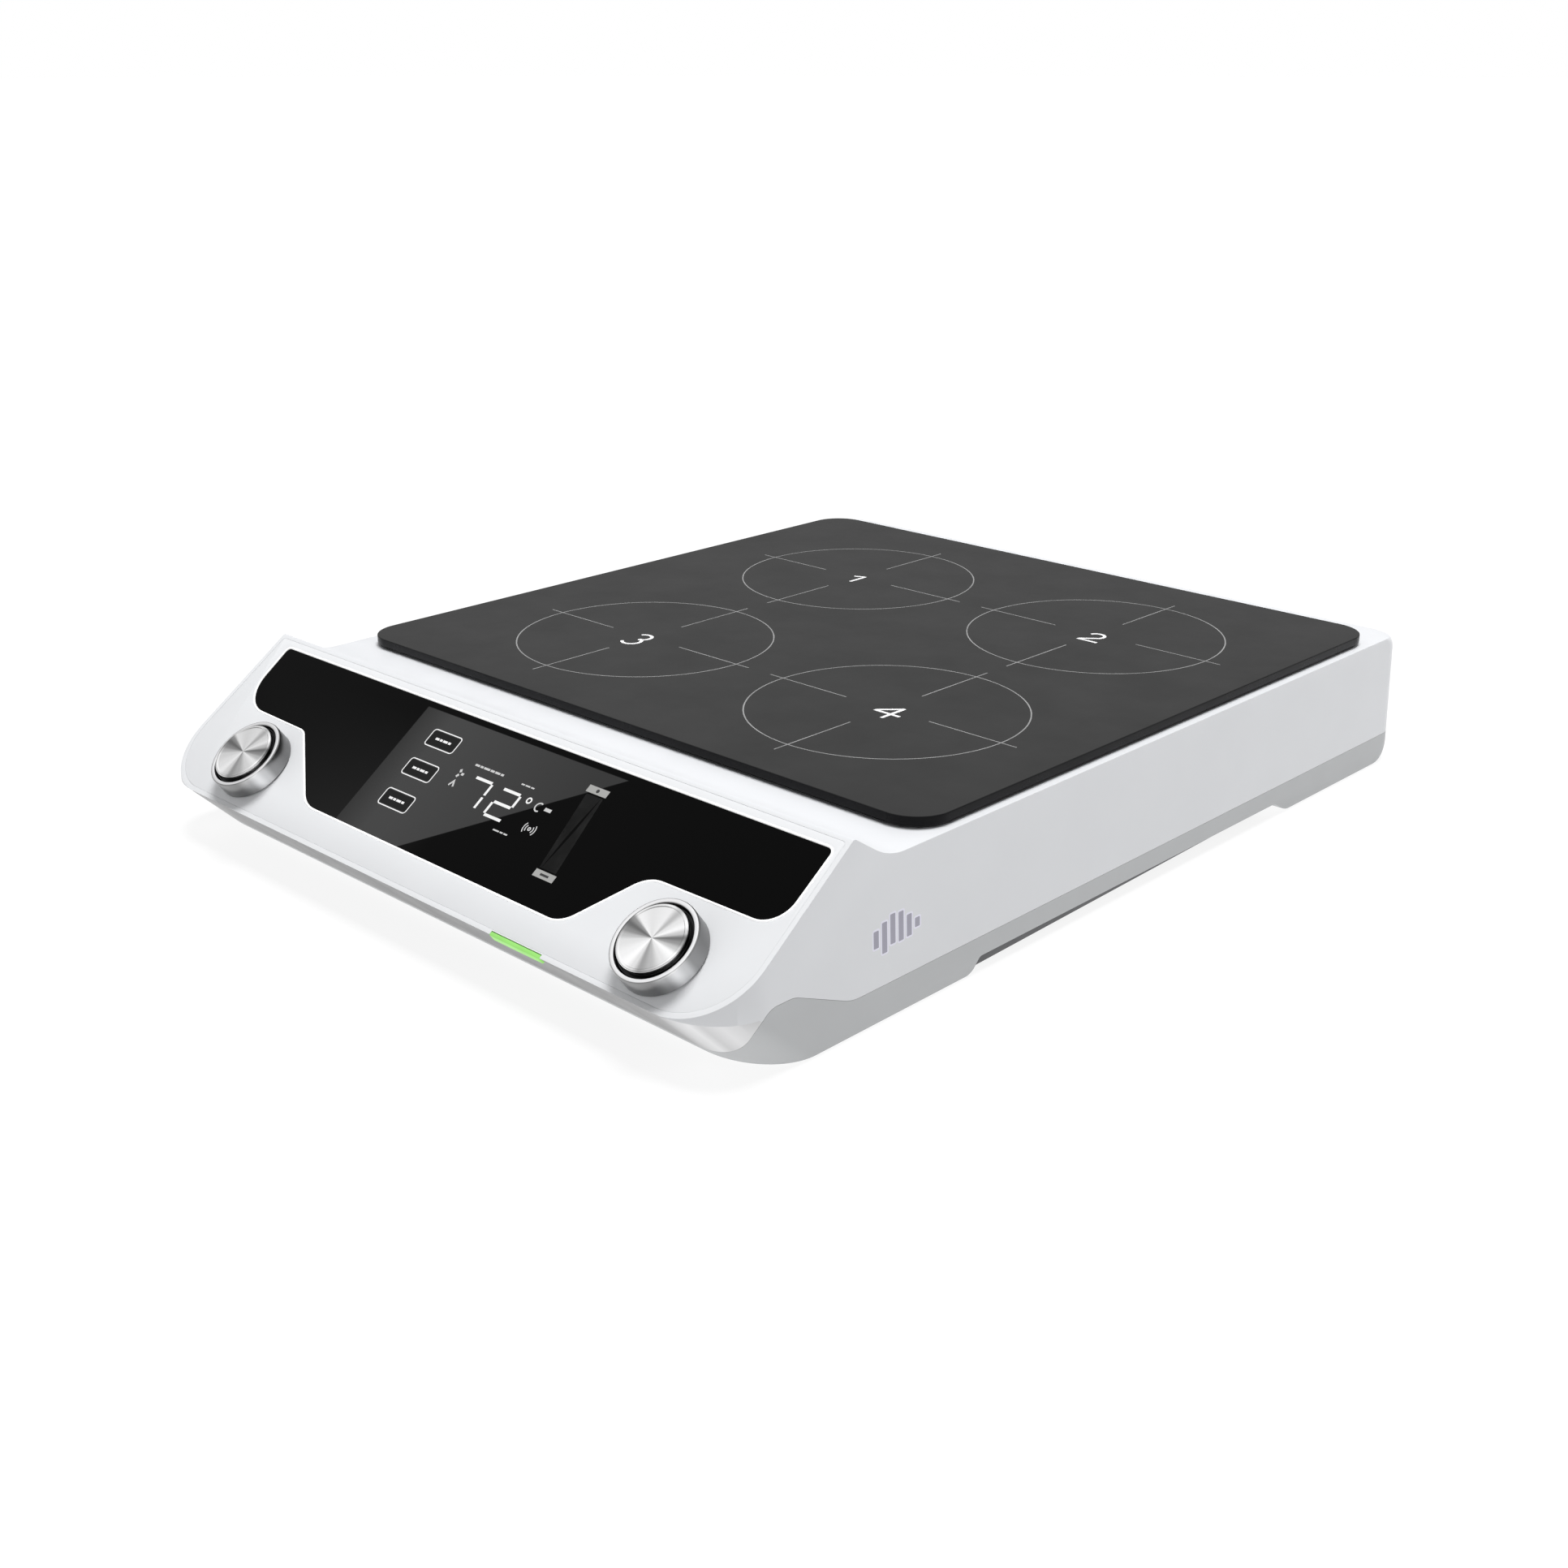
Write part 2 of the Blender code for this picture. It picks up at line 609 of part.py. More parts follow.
def make_places():
    """Heater, motor, rotor and magnet of each stirring place."""
    heater = [(0, 59.2), (HEATER_RADIUS, 59.2), (HEATER_RADIUS, 57.9), (0, 57.9)]
    bore = SHAFT_RADIUS + 0.4
    motor = [(bore, 32.0), (8.0, 32.0), (8.0, 30.5), (MOTOR_RADIUS, 30.5), (MOTOR_RADIUS, 13.8), (bore, 13.8)]
    rotor = [
        (0, 40.0),
        (ROTOR_RADIUS, 40.0),
        (ROTOR_RADIUS, 36.5),
        (HUB_RADIUS, 36.5),
        (HUB_RADIUS, 33.0),
        (SHAFT_RADIUS, 33.0),
        (SHAFT_RADIUS, 15.0),
        (0, 15.0),
    ]
    magnet_low = (-MAGNET_LENGTH / 2, -MAGNET_WIDTH / 2, MAGNET_Z[0])
    magnet_high = (MAGNET_LENGTH / 2, MAGNET_WIDTH / 2, MAGNET_Z[1])
    for number, (across, along) in PLACE_STEPS.items():
        x = PLACE_CENTRE[0] + across * PLACE_PITCH
        y = PLACE_CENTRE[1] + along * PLACE_PITCH
        turned(f"heater_disc_{number}", heater, MICA, location=(x, y, 0), steps=24)
        turned(f"motor_{number}", motor, DARK_STEEL, location=(x, y, 0), steps=16)
        spin = add_empty(f"spin_axis_{number}", (x, y, 0))
        turned(f"rotor_{number}", rotor, ALUMINIUM, spin, steps=16)
        bevelled_box(f"bar_magnet_{number}", magnet_low, magnet_high, 1.5, MAGNET, spin)


# ---------------------------------------------------------------- console


def make_console():
    outline = fascia_outline(FASCIA_INSET)
    panel = prism("front_fascia", outline, -FASCIA_THICK, 0.0, FRONT_CORNER_STEPS)
    fascia = add_object("front_fascia", panel, GREY, console)
    clearance = offset_outline(WINDOW, TRIM_WIDTH + GAP)
    cut(fascia, prism("window_hole", clearance, -10.0, 10.0), console)
    cut(fascia, rods("knob_holes", KNOB_PLACES.values(), NECK_RADIUS + GAP, -10.0, 10.0), console)

    rim = offset_outline(WINDOW, TRIM_WIDTH)
    trim = add_object("window_trim", prism("window_trim", rim, -2.0, 0.3), WHITE, console)
    cut(trim, prism("trim_hole", offset_outline(WINDOW, GAP), -10.0, 10.0), console)
    glass = prism("display_window", WINDOW, -1.9, -0.1)
    add_object("display_window", glass, WINDOW_GLASS, console)
    bevelled_box("display_module", (-42, -60, -4.8), (62, -12, -2.3), 0.4, BLACK, console)
    board = rectangle((-65, 85), (-65, -9), 2.0)
    add_object("display_board", prism("display_board", board, -6.8, -5.2, 1), CIRCUIT, console)
    left, right = LIGHT_X
    low, high = (left, -SLOPE_LENGTH - 0.3, -3.4), (right, -SLOPE_LENGTH + 1.2, 0.2)
    bevelled_box("status_light", low, high, 0.4, GREEN, console)


def make_knobs():
    """A turning ring and core on an encoder, round a cap that is pushed in."""
    ring = [
        (CORE_RADIUS + 0.3, KNOB_HEIGHT),
        (KNOB_RADIUS - 0.6, KNOB_HEIGHT),
        (KNOB_RADIUS, KNOB_HEIGHT - 0.6),
        (KNOB_RADIUS, 0.5),
        (CAP_RADIUS - 0.4, 0.5),
        (CAP_RADIUS - 0.4, 1.6),
        (CORE_RADIUS + 0.3, 1.6),
    ]
    lip = CAP_RADIUS + 0.4
    bore = SHAFT_RADIUS + 0.4
    core = [(lip, 7.1), (CORE_RADIUS, 7.1), (CORE_RADIUS, 1.9), (bore, 1.9), (bore, 5.9), (lip, 5.9)]
    cap = [
        (0, CAP_TOP - 0.3),
        (CAP_RADIUS - 0.7, CAP_TOP),
        (CAP_RADIUS, CAP_TOP - 0.4),
        (CAP_RADIUS, 7.5),
        (0, 7.5),
    ]
    shaft = [(0, 7.2), (SHAFT_RADIUS, 7.2), (SHAFT_RADIUS, -9.0), (0, -9.0)]
    for side, (x, y) in KNOB_PLACES.items():
        axis = add_empty(f"{side}_knob_axis", (x, y, 0), parent=console)
        turned(f"{side}_knob_ring", ring, ALUMINIUM, axis, steps=32)
        turned(f"{side}_knob_core", core, BLACK, axis, steps=24)
        turned(f"{side}_knob_cap", cap, ALUMINIUM, axis, steps=32)
        turned(f"{side}_encoder_shaft", shaft, STEEL, axis, steps=12)
        body = bevelled_box(f"{side}_encoder", (-7, -7, -11), (7, 7, -3), 0.5, DARK_STEEL, axis)
        join(body, rods(f"{side}_neck", [(0, 0)], NECK_RADIUS, -6.0, 1.4, 12), axis)
        join(body, rods(f"{side}_nut", [(0, 0)], 7.5, 0.3, 1.2, 6), axis)
        cut(body, rods(f"{side}_shaft_bore", [(0, 0)], bore, -10.6, 3.0, 12), axis)


# ---------------------------------------------------------------- sound


def make_sound():
    """A dark insert fills the slots from inside, and a small sounder sits behind it."""
    back, flush, margin = 160.6, 164.7, 0.7
    half = SOUND_SLOT_WIDTH / 2 - GAP
    y, z = SOUND_CENTRE
    plate = rectangle((y - 14.8, y + 14.8), (z - 9.5, z + 9.0), 2.0)
    pad = prism("sound_insert", plate, back, 162.6, 1)
    insert = add_object("sound_insert", pad, BLACK, rotation=ALONG_X)
    ribs = [
        ((back + 0.6, slot_y - half, low + margin), (flush, slot_y + half, high - margin))
        for slot_y, low, high in SOUND_SLOTS
    ]
    join(insert, boxes("sound_ribs", ribs))
    profile = [(0, 9.0), (11.0, 9.0), (11.0, 0.0), (0, 0.0)]
    turned("sounder", profile, BLACK, location=(151.0, y, z), rotation=(0, math.pi / 2, 0), steps=16)


# ---------------------------------------------------------------- chassis and electronics


def make_chassis():
    """The sheet that carries the motors, on studs that stand on the tray."""
    outline = rectangle((-122.0, 132.0), (-86.0, 144.0), 6.0)
    plate = add_object("motor_plate", prism("motor_plate", outline, 11.5, 13.5, 2), STEEL)
    vents = [block((PLACE_CENTRE[0], y, 12.5), (16.0, 26.0, 10.0)) for y in (-27.0, 37.0, 93.0)]
    cut(plate, boxes("plate_vents", vents))
    join(plate, rods("plate_studs", STUDS, 4.0, ARCH_Z + WALL + GAP, 12.5, 8))


def make_electronics():
    board = add_object("main_board", boxes("main_board", [((-95, -160, 12), (70, -98, 13.6))]), CIRCUIT)
    chips = [
        ((-80, -150, 13), (-62, -132, 20)),
        ((-50, -150, 13), (-30, -140, 16)),
        ((-50, -130, 13), (-36, -116, 15)),
        ((-20, -152, 13), (4, -134, 24)),
        ((-84, -118, 13), (-66, -106, 19)),
    ]
    join(board, boxes("chips", chips))
    sink = add_object("heat_sink", boxes("heat_sink", [((14, -150, 13.9), (62, -108, 17))]), ALUMINIUM)
    fins = [block((14.8 + 5.8 * i, -129, 23), (1.6, 42, 14)) for i in range(9)]
    join(sink, boxes("sink_fins", fins))
    supply = bevelled_box("power_supply", (-52, 151, 9.5), (62, 207, 42), 1.0, STEEL)
    slots = [block((-42.5 + 9 * i, 175, 45), (3, 50, 10)) for i in range(11)]
    cut(supply, boxes("supply_vents", slots))


def make_fan():
    """An axial fan that blows out through the rear wall."""
    axis = add_empty("fan_axis", (FAN[0], REAR_Y - REAR_WALL - GAP, FAN[1]), (-math.pi / 2, 0, 0))
    low, high = (-FAN_HALF, -FAN_HALF, -FAN_DEPTH), (FAN_HALF, FAN_HALF, 0.0)
    frame = bevelled_box("fan_frame", low, high, 1.0, BLACK, axis)
    cut(frame, rods("fan_bore", [(0, 0)], FAN_BORE, 1.8 - FAN_DEPTH, 1.0, 20), axis)
    inlet = add_object("fan_inlet", rods("fan_inlet", [(0, 0)], FAN_BORE - 1.2, -12.0, -8.0, 20), parent=axis)
    cut(inlet, boxes("fan_spider", [block((0, 0, -10), (2, 40, 6))]), axis)
    boolean(frame, inlet)
    hub = turned("fan_rotor", [(0, -0.8), (9.5, -0.8), (9.5, -7.9), (0, -7.9)], BLACK, axis, steps=14)
    for i in range(FAN_BLADES):
        arm = add_empty(f"blade_arm_{i}", (0, 0, -4.3), (0, 0, math.tau * i / FAN_BLADES), axis)
        blade = boxes(f"blade_{i}", [((8.0, -0.6, -3.6), (17.4, 0.6, 3.6))])
        join(hub, blade, arm, rotation=(math.radians(50), 0, 0))


# ---------------------------------------------------------------- rear fittings


def make_inlet():
    """Three-pin appliance inlet, with a fuse drawer under its socket."""
    x, z = INLET
    width, height = INLET_FLANGE
    face = FITTING_FACE
    flange = ((x - width / 2, face - FLANGE_DEPTH, z - height / 2), (x + width / 2, face, z + height / 2))
    inlet = add_object("power_inlet", boxes("power_inlet", [flange]), BLACK)
    half, tall = width / 2 - FLANGE_STEP, height / 2 - FLANGE_STEP
    join(inlet, boxes("inlet_body", [((x - half, face - 27, z - tall), (x + half, face - 1, z + tall))]))
    socket = [(-12, -4.5, 0.5), (12, -4.5, 0.5), (12, 6, 0.5), (8, 11, 0.5), (-8, 11, 0.5), (-12, 6, 0.5)]
    cut(inlet, prism("socket", socket, -1.0, 17.0, 1), location=(x, face, z + 6), rotation=ALONG_REAR)
    slot = ((x - 10.3, face - 22, z - 16.3), (x + 10.3, face + 2, z - 3.7))
    cut(inlet, boxes("fuse_slot", [slot]))
    pins = [block((x + a, face - 11.75, z + b), (2, 12.5, 4)) for a, b in ((-7, 7.5), (7, 7.5), (0, 11.5))]
    join(inlet, boxes("inlet_pins", pins))
    drawer = bevelled_box("fuse_drawer", (x - 10, face - 20, z - 16), (x + 10, face, z - 4), 0.4, BLACK)
    cut(drawer, boxes("drawer_grip", [block((x, face, z - 10), (8, 2.4, 4))]))
    cut(drawer, boxes("fuse_bay", [((x - 7.5, face - 17, z - 13), (x + 7.5, face - 3, z + 2))]))
    fuse = [(0, 6.6), (2.2, 6.6), (2.2, -6.6), (0, -6.6)]
    turned("fuse", fuse, BRASS, location=(x, face - 10, z - 10.2), rotation=(0, math.pi / 2, 0), steps=12)


def make_switch():
    """Power rocker switch, with its lower half pressed in."""
    x, z = SWITCH
    width, height = SWITCH_FLANGE
    face = FITTING_FACE
    flange = ((x - width / 2, face - FLANGE_DEPTH, z - height / 2), (x + width / 2, face, z + height / 2))
    body = add_object("switch_body", boxes("switch_body", [flange]), BLACK)
    half, tall = width / 2 - FLANGE_STEP, height / 2 - FLANGE_STEP
    join(body, boxes("switch_block", [((x - half, face - 20, z - tall), (x + half, face - 1, z + tall))]))
    cut(body, boxes("switch_well", [((x - 5.6, face - 9.5, z - 9.6), (x + 5.6, face + 1, z + 9.6))]))
    outline = [(-2.5, -8.6, 0.5), (2.9, -8.8, 0.5), (1.9, 0.0, 0.0), (2.9, 8.8, 0.5), (-2.5, 8.6, 0.5)]
    axis = add_empty("rocker_axis", (x, face - 4.3, z), (math.radians(-8.0), 0, 0))
    rocker = prism("power_rocker", outline, -5.2, 5.2, 1)
    add_object("power_rocker", rocker, BLACK, axis, rotation=ALONG_X)


make_base_tray()
make_upper_housing()
make_bottom_cover()
make_case_screws()
make_feet()
make_top()
make_places()
make_console()
make_knobs()
make_sound()
make_chassis()
make_electronics()
make_fan()
make_inlet()
make_switch()
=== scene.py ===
# Looks of the four-place magnetic stirrer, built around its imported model.
# Sizes are in millimetres, and the helpers turn them into metres. The front faces -Y.
import json
import math

import bmesh
import bpy
from mathutils import Matrix, Vector


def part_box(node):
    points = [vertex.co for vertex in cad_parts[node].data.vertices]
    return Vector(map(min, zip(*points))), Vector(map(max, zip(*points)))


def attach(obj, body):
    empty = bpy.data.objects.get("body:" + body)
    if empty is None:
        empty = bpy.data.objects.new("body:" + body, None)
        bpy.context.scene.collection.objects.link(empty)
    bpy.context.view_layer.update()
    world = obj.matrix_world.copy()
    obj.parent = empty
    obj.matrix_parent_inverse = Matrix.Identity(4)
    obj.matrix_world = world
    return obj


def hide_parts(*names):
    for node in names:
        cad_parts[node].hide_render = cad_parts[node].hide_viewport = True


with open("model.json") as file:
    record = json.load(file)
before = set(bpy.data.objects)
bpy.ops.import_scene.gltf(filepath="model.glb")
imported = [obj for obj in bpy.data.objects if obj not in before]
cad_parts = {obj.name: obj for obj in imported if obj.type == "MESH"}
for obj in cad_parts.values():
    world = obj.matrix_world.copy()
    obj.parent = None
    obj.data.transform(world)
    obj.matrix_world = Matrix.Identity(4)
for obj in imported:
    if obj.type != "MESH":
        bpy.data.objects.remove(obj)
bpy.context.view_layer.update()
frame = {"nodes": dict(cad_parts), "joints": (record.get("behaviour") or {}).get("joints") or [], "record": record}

MM = 0.001
JOINTS = {joint["name"]: joint for joint in frame["joints"]}


def box_mm(node):
    """A node's lowest and highest corners, in millimetres."""
    low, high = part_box(node)
    return low / MM, high / MM


def centre_mm(node):
    low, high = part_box(node)
    return low.lerp(high, 0.5) / MM


HOUSING_LOW, HOUSING_HIGH = box_mm("upper_housing")
PLATE_LOW, PLATE_HIGH = box_mm("glass_plate")
PLATE_CORNER = 15.5

# The body's form.
FRONT_Y = HOUSING_LOW.y
REAR_Y = HOUSING_HIGH.y
HALF_WIDTH_LOW = 167.2
HALF_WIDTH_HIGH = 164.3
CORNER_WIDTH = 28.0
REAR_CORNER = 12.6
BOTTOM_Z = 1.0
BODY_TOP_Z = 74.0
DECK_Z = 58.7
RIDGE_Y = -152.3
RIDGE_Z = 70.0
RIDGE_BACK = math.radians(34.0)
SLOPE = math.radians(36.0)
LIP_Z = RIDGE_Z - (RIDGE_Y - FRONT_Y) * math.tan(SLOPE)
SLOPE_LENGTH = (RIDGE_Y - FRONT_Y) / math.cos(SLOPE)
CORNER_DEPTH = CORNER_WIDTH * math.cos(SLOPE)
REAR_ROUND = 8.0
DECK_ROUND = 6.0
SHOULDER_Z = DECK_Z - DECK_ROUND
WALL = 2.5
REAR_WALL = 4.6
SLOPE_WALL = 5.4
FLOOR_Z = 3.5
FAR = 200.0
SEAM_GAP = 0.12
SEAM = ((FAR + 40.0, 13.7, 0.0), (-154.9, 13.7, 20.0), (-181.9, 25.2, 12.0))
SEAM_FRONT = (-198.5, 25.2, 9.0)
ARCH_FRONT_Y = -87.4
ARCH_REAR_Y = 113.1
ARCH_Z = 6.1

# Turns that lay a flat outline across the body (y, z) or on its rear (x, z).
ALONG_X = Matrix.Rotation(math.pi / 2, 4, "Z") @ Matrix.Rotation(math.pi / 2, 4, "X")
ALONG_REAR = Matrix.Rotation(math.pi / 2, 4, "X")

# The console.
CONSOLE = Matrix.Translation(Vector((0.0, RIDGE_Y, RIDGE_Z)) * MM) @ Matrix.Rotation(SLOPE, 4, "X")
FASCIA_INSET = 2.0
FASCIA_THICK = 2.4
PANEL_GAP = 0.05
WINDOW = (
    (-154.3, -5.8, 2.0), (-153.6, -36.4, 16.0), (-106.1, -37.4, 7.0), (-72.9, -65.6, 16.0),
    (79.9, -65.9, 12.0), (101.1, -38.3, 13.0), (159.7, -37.8, 10.5), (159.9, -5.9, 2.5),
)
RIM_WIDTH = 0.9
PANE_Z = -0.1
INK_HEIGHT = 0.03
KNOB_RADIUS = 16.3
KNOB_HEIGHT = 8.5
CORE_RADIUS = 14.1
CAP_RADIUS = 13.0
CAP_TOP = 10.0

# The slots in the right wall: y, lowest and highest z.
SOUND_SLOTS = (
    (-142.6, 28.3, 34.5), (-138.4, 25.3, 36.4), (-134.2, 27.3, 38.1),
    (-130.0, 27.0, 37.6), (-125.8, 27.3, 35.2), (-121.6, 29.3, 32.7),
)
SOUND_BAR_WIDTH = 2.5

# The camera: where it looks, from which side and how far.
CAMERA_TARGET = Vector((101.6, -119.3, 62.7)) * MM
CAMERA_AZIMUTH = math.radians(43.811)
CAMERA_ELEVATION = math.radians(21.206)
CAMERA_DISTANCE = 673.2 * MM
CAMERA_LENS = 43.76


# ---- materials


def connect(tree, value, socket):
    """Links a socket to another one, or sets it to a value."""
    if isinstance(value, bpy.types.NodeSocket):
        tree.links.new(value, socket)
    else:
        socket.default_value = value


def set_inputs(tree, node, **inputs):
    """Sets or links a node's inputs by name; _ stands for a space."""
    for name, value in inputs.items():
        connect(tree, value, node.inputs[name.replace("_", " ")])


def add_node(tree, kind, settings=None, **inputs):
    made = tree.nodes.new("ShaderNode" + kind)
    for name, value in (settings or {}).items():
        setattr(made, name, value)
    set_inputs(tree, made, **inputs)
    return made


def operate(tree, kind, operation, *values):
    """The outputs of a math node, whose inputs are set or linked in their order."""
    made = add_node(tree, kind, {"operation": operation})
    for socket, value in zip(made.inputs, values):
        connect(tree, value, socket)
    return made.outputs


def math_node(tree, operation, *values):
    return operate(tree, "Math", operation, *values)[0]


def product(tree, first, *others):
    for other in others:
        first = math_node(tree, "MULTIPLY", first, other)
    return first


def split(tree, place):
    """A vector's x, y and z."""
    return add_node(tree, "SeparateXYZ", Vector=place).outputs[:3]


def noise(tree, place, scale, detail=2.0, stretch=(1, 1, 1)):
    stretched = add_node(tree, "Mapping", Vector=place, Scale=stretch).outputs["Vector"]
    return add_node(tree, "TexNoise", Vector=stretched, Scale=scale, Detail=detail).outputs["Fac"]


def spread(tree, value, low, high, start=0.3, end=0.7):
    """Maps start..end, which is a noise's middle range unless it is given, to low..high."""
    made = add_node(tree, "MapRange", Value=value, From_Min=start, From_Max=end, To_Min=low, To_Max=high)
    return made.outputs["Result"]


def fade(tree, value, low, high, start, end):
    """Low up to start and high from end on, both in mm."""
    return spread(tree, value, low, high, start * MM, end * MM)


def tint(tree, value, dark, light):
    """A colour between two, by a value from 0 to 1."""
    made = add_node(tree, "Mix", {"data_type": "RGBA"}, Factor=value, A=(*dark, 1.0), B=(*light, 1.0))
    return made.outputs["Result"]


def shades(tree, value, stops, reach, blue, interpolation="LINEAR"):
    """Greys by a value from 0 to 1, from stops (place up to reach, lightness), a little blue."""
    made = add_node(tree, "ValToRGB", Fac=value)
    ramp = made.color_ramp
    ramp.interpolation = interpolation
    while len(ramp.elements) < len(stops):
        ramp.elements.new(0.5)
    for element, (stop, lightness) in zip(ramp.elements, stops):
        element.position = stop / reach
        element.color = (lightness, lightness, lightness * blue, 1.0)
    return made.outputs["Color"]


def bump(tree, shader, height, strength, distance):
    made = add_node(tree, "Bump", Height=height, Strength=strength, Distance=distance * MM)
    set_inputs(tree, shader, Normal=made.outputs["Normal"])


def new_material(name):
    """A new material, its node tree, its shader and the place on the piece in metres."""
    made = bpy.data.materials.new(name)
    made.use_nodes = True
    tree = made.node_tree
    return made, tree, tree.nodes["Principled BSDF"], add_node(tree, "TexCoord").outputs["Object"]


def surface(
    name, colour, roughness, metallic=0.0, drift=0.03, drift_scale=25.0, gloss=0.05, gloss_scale=90.0,
    grain=0.1, grain_scale=1800.0, grain_depth=0.03, stretch=(1, 1, 1), specular=0.5, glow=0.0,
):
    """A material with a slight drift of colour, an uneven gloss and a fine grain."""
    made, tree, shader, place = new_material(name)
    wide = spread(tree, noise(tree, place, drift_scale, 3.0), 0.0, 1.0)
    dark = [channel * (1 - drift) for channel in colour]
    light = [min(1.0, channel * (1 + drift)) for channel in colour]
    patchy = noise(tree, place, gloss_scale, 4.0, stretch)
    rough = spread(tree, patchy, roughness - gloss, roughness + gloss)
    shown = tint(tree, wide, dark, light)
    set_inputs(tree, shader, Base_Color=shown, Roughness=rough, Metallic=metallic)
    set_inputs(tree, shader, Specular_IOR_Level=specular, Emission_Strength=glow)
    bump(tree, shader, noise(tree, place, grain_scale, 2.0, stretch), grain, grain_depth)
    return made


def spun_metal_painted_sheen(name, sectors, roughness):
    """Metal turned on a lathe: fine rings round the local z axis, and painted highlights and shade, lighter and
    darker sectors that stand in for its reflections.
    """
    made, tree, shader, place = new_material(name)
    x, y = split(tree, place)[:2]
    turn = math_node(tree, "FRACT", math_node(tree, "DIVIDE", math_node(tree, "ARCTAN2", y, x), math.tau))
    # Painted reflection: light and dark sectors set into the metal's colour.
    fan = shades(tree, turn, sectors, 360.0, 1.005, "EASE")
    flat = operate(tree, "VectorMath", "MULTIPLY", place, (1.0, 1.0, 0.0))["Vector"]
    radius = operate(tree, "VectorMath", "LENGTH", flat)["Value"]
    wave = add_node(tree, "TexNoise", {"noise_dimensions": "1D"}, W=radius, Scale=RING_SCALE, Detail=3.0)
    rings = wave.outputs["Fac"]
    layers = {"data_type": "RGBA", "blend_type": "MULTIPLY"}
    shown = add_node(tree, "Mix", layers, Factor=1.0, A=fan, B=spread(tree, rings, 0.965, 1.0))
    rough = spread(tree, rings, roughness - 0.03, roughness + 0.03)
    along = add_node(tree, "Tangent", {"direction_type": "RADIAL", "axis": "Z"})
    set_inputs(tree, shader, Base_Color=shown.outputs["Result"], Roughness=rough, Metallic=1.0)
    set_inputs(tree, shader, Anisotropic=0.3, Tangent=along.outputs["Tangent"])
    bump(tree, shader, rings, 0.03, 0.02)
    return made


def above_line(tree, x, y, start, end, blur):
    """1 above the line from start to end (mm, left to right) and 0 below it, blurred."""
    (x0, y0), (x1, y1) = start, end
    slope = (y1 - y0) / (x1 - x0)
    rise = math_node(tree, "MULTIPLY", math_node(tree, "SUBTRACT", x, x0 * MM), slope)
    over = math_node(tree, "SUBTRACT", math_node(tree, "SUBTRACT", y, y0 * MM), rise)
    return fade(tree, over, 0.0, 1.0, -blur, blur)


def window_glass():
    """Black glass with painted reflections: a faint lighter glare on its left and a lighter glare wedge over the
    display.
    """
    made, tree, shader, place = new_material("window_glass")
    x, y = split(tree, place)[:2]
    left = fade(tree, x, 0.0, 1.0, -52.8, -52.4)
    top = fade(tree, y, 1.0, 0.0, -8.6, -8.3)
    lower = above_line(tree, x, y, (-12.0, -64.8), (66.7, -6.5), 0.25)
    rise = fade(tree, x, 0.55, 1.0, -54.0, -36.0)
    fall = fade(tree, x, 1.0, 0.66, -24.0, 50.0)
    # A painted reflection: a lighter glare wedge over the display, bounded at the left, at the top and below a
    # diagonal.
    wedge = product(tree, left, top, lower, product(tree, rise, fall))
    # A painted glare: faintly lighter on the left part of the window, most towards its lower edge.
    side_glare_start = fade(tree, x, 0.0, 1.0, -150.0, -45.0)
    side_glare_end = fade(tree, x, 1.0, 0.0, -50.0, 0.0)
    side_glare_low = fade(tree, y, 1.0, 0.0, -66.0, -12.0)
    side_glare = product(tree, side_glare_start, side_glare_low, side_glare_end, SIDE_GLARE)
    value = math_node(tree, "MAXIMUM", wedge, side_glare)
    colour = tint(tree, value, (0.002, 0.002, 0.002), (0.058, 0.058, 0.058))
    smears = spread(tree, noise(tree, place, 30.0, 4.0, (1, 3, 1)), 0.06, 0.12)
    set_inputs(tree, shader, Base_Color=colour, Roughness=smears, Specular_IOR_Level=0.02)
    return made


def undercut():
    """The housing's moulding under the lip, with painted shade: grey in front, with painted light streaks at the
    corners.
    """
    made, tree, shader, place = new_material("painted_shade_under_lip")
    across = math_node(tree, "ABSOLUTE", split(tree, place)[0])
    part = math_node(tree, "DIVIDE", across, HALF_WIDTH_LOW * MM)
    colour = shades(tree, part, UNDERCUT_PAINTED_TONES, HALF_WIDTH_LOW, 1.01)
    rough = spread(tree, noise(tree, place, 90.0, 4.0), 0.4, 0.55)
    set_inputs(tree, shader, Base_Color=colour, Roughness=rough, Specular_IOR_Level=0.3)
    bump(tree, shader, noise(tree, place, 1800.0), 0.1, 0.03)
    return made


def lit(name, colour, strength, base=0.5):
    """Something lit from inside, slightly uneven."""
    made, tree, shader, place = new_material(name)
    dark = [channel * 0.9 for channel in colour]
    shown = tint(tree, spread(tree, noise(tree, place, 120.0), 0.0, 1.0), dark, colour)
    unlit = (*[channel * base for channel in colour], 1.0)
    set_inputs(tree, shader, Emission_Color=shown, Emission_Strength=strength, Base_Color=unlit)
    set_inputs(tree, shader, Roughness=0.35, Specular_IOR_Level=0.1)
    return made


# Rings per metre on turned metal, and how strong the window's painted glare on its left is.
RING_SCALE = 2.4 / MM
SIDE_GLARE = 0.2

# Painted highlights and shade on the spun caps, in place of their reflections: degrees round the cap and how light
# the metal is painted there.
CAP_PAINTED_SHEEN = (
    (0, 0.6), (10, 0.32), (20, 0.18), (30, 0.6), (42, 0.95), (58, 0.8), (74, 0.5), (92, 0.85),
    (128, 0.78), (153, 0.88), (162, 0.3), (172, 0.15), (184, 0.28), (195, 0.52), (206, 0.76),
    (237, 0.9), (257, 1.0), (275, 0.76), (290, 0.36), (308, 0.5), (330, 0.8), (349, 1.0), (360, 0.6),
)

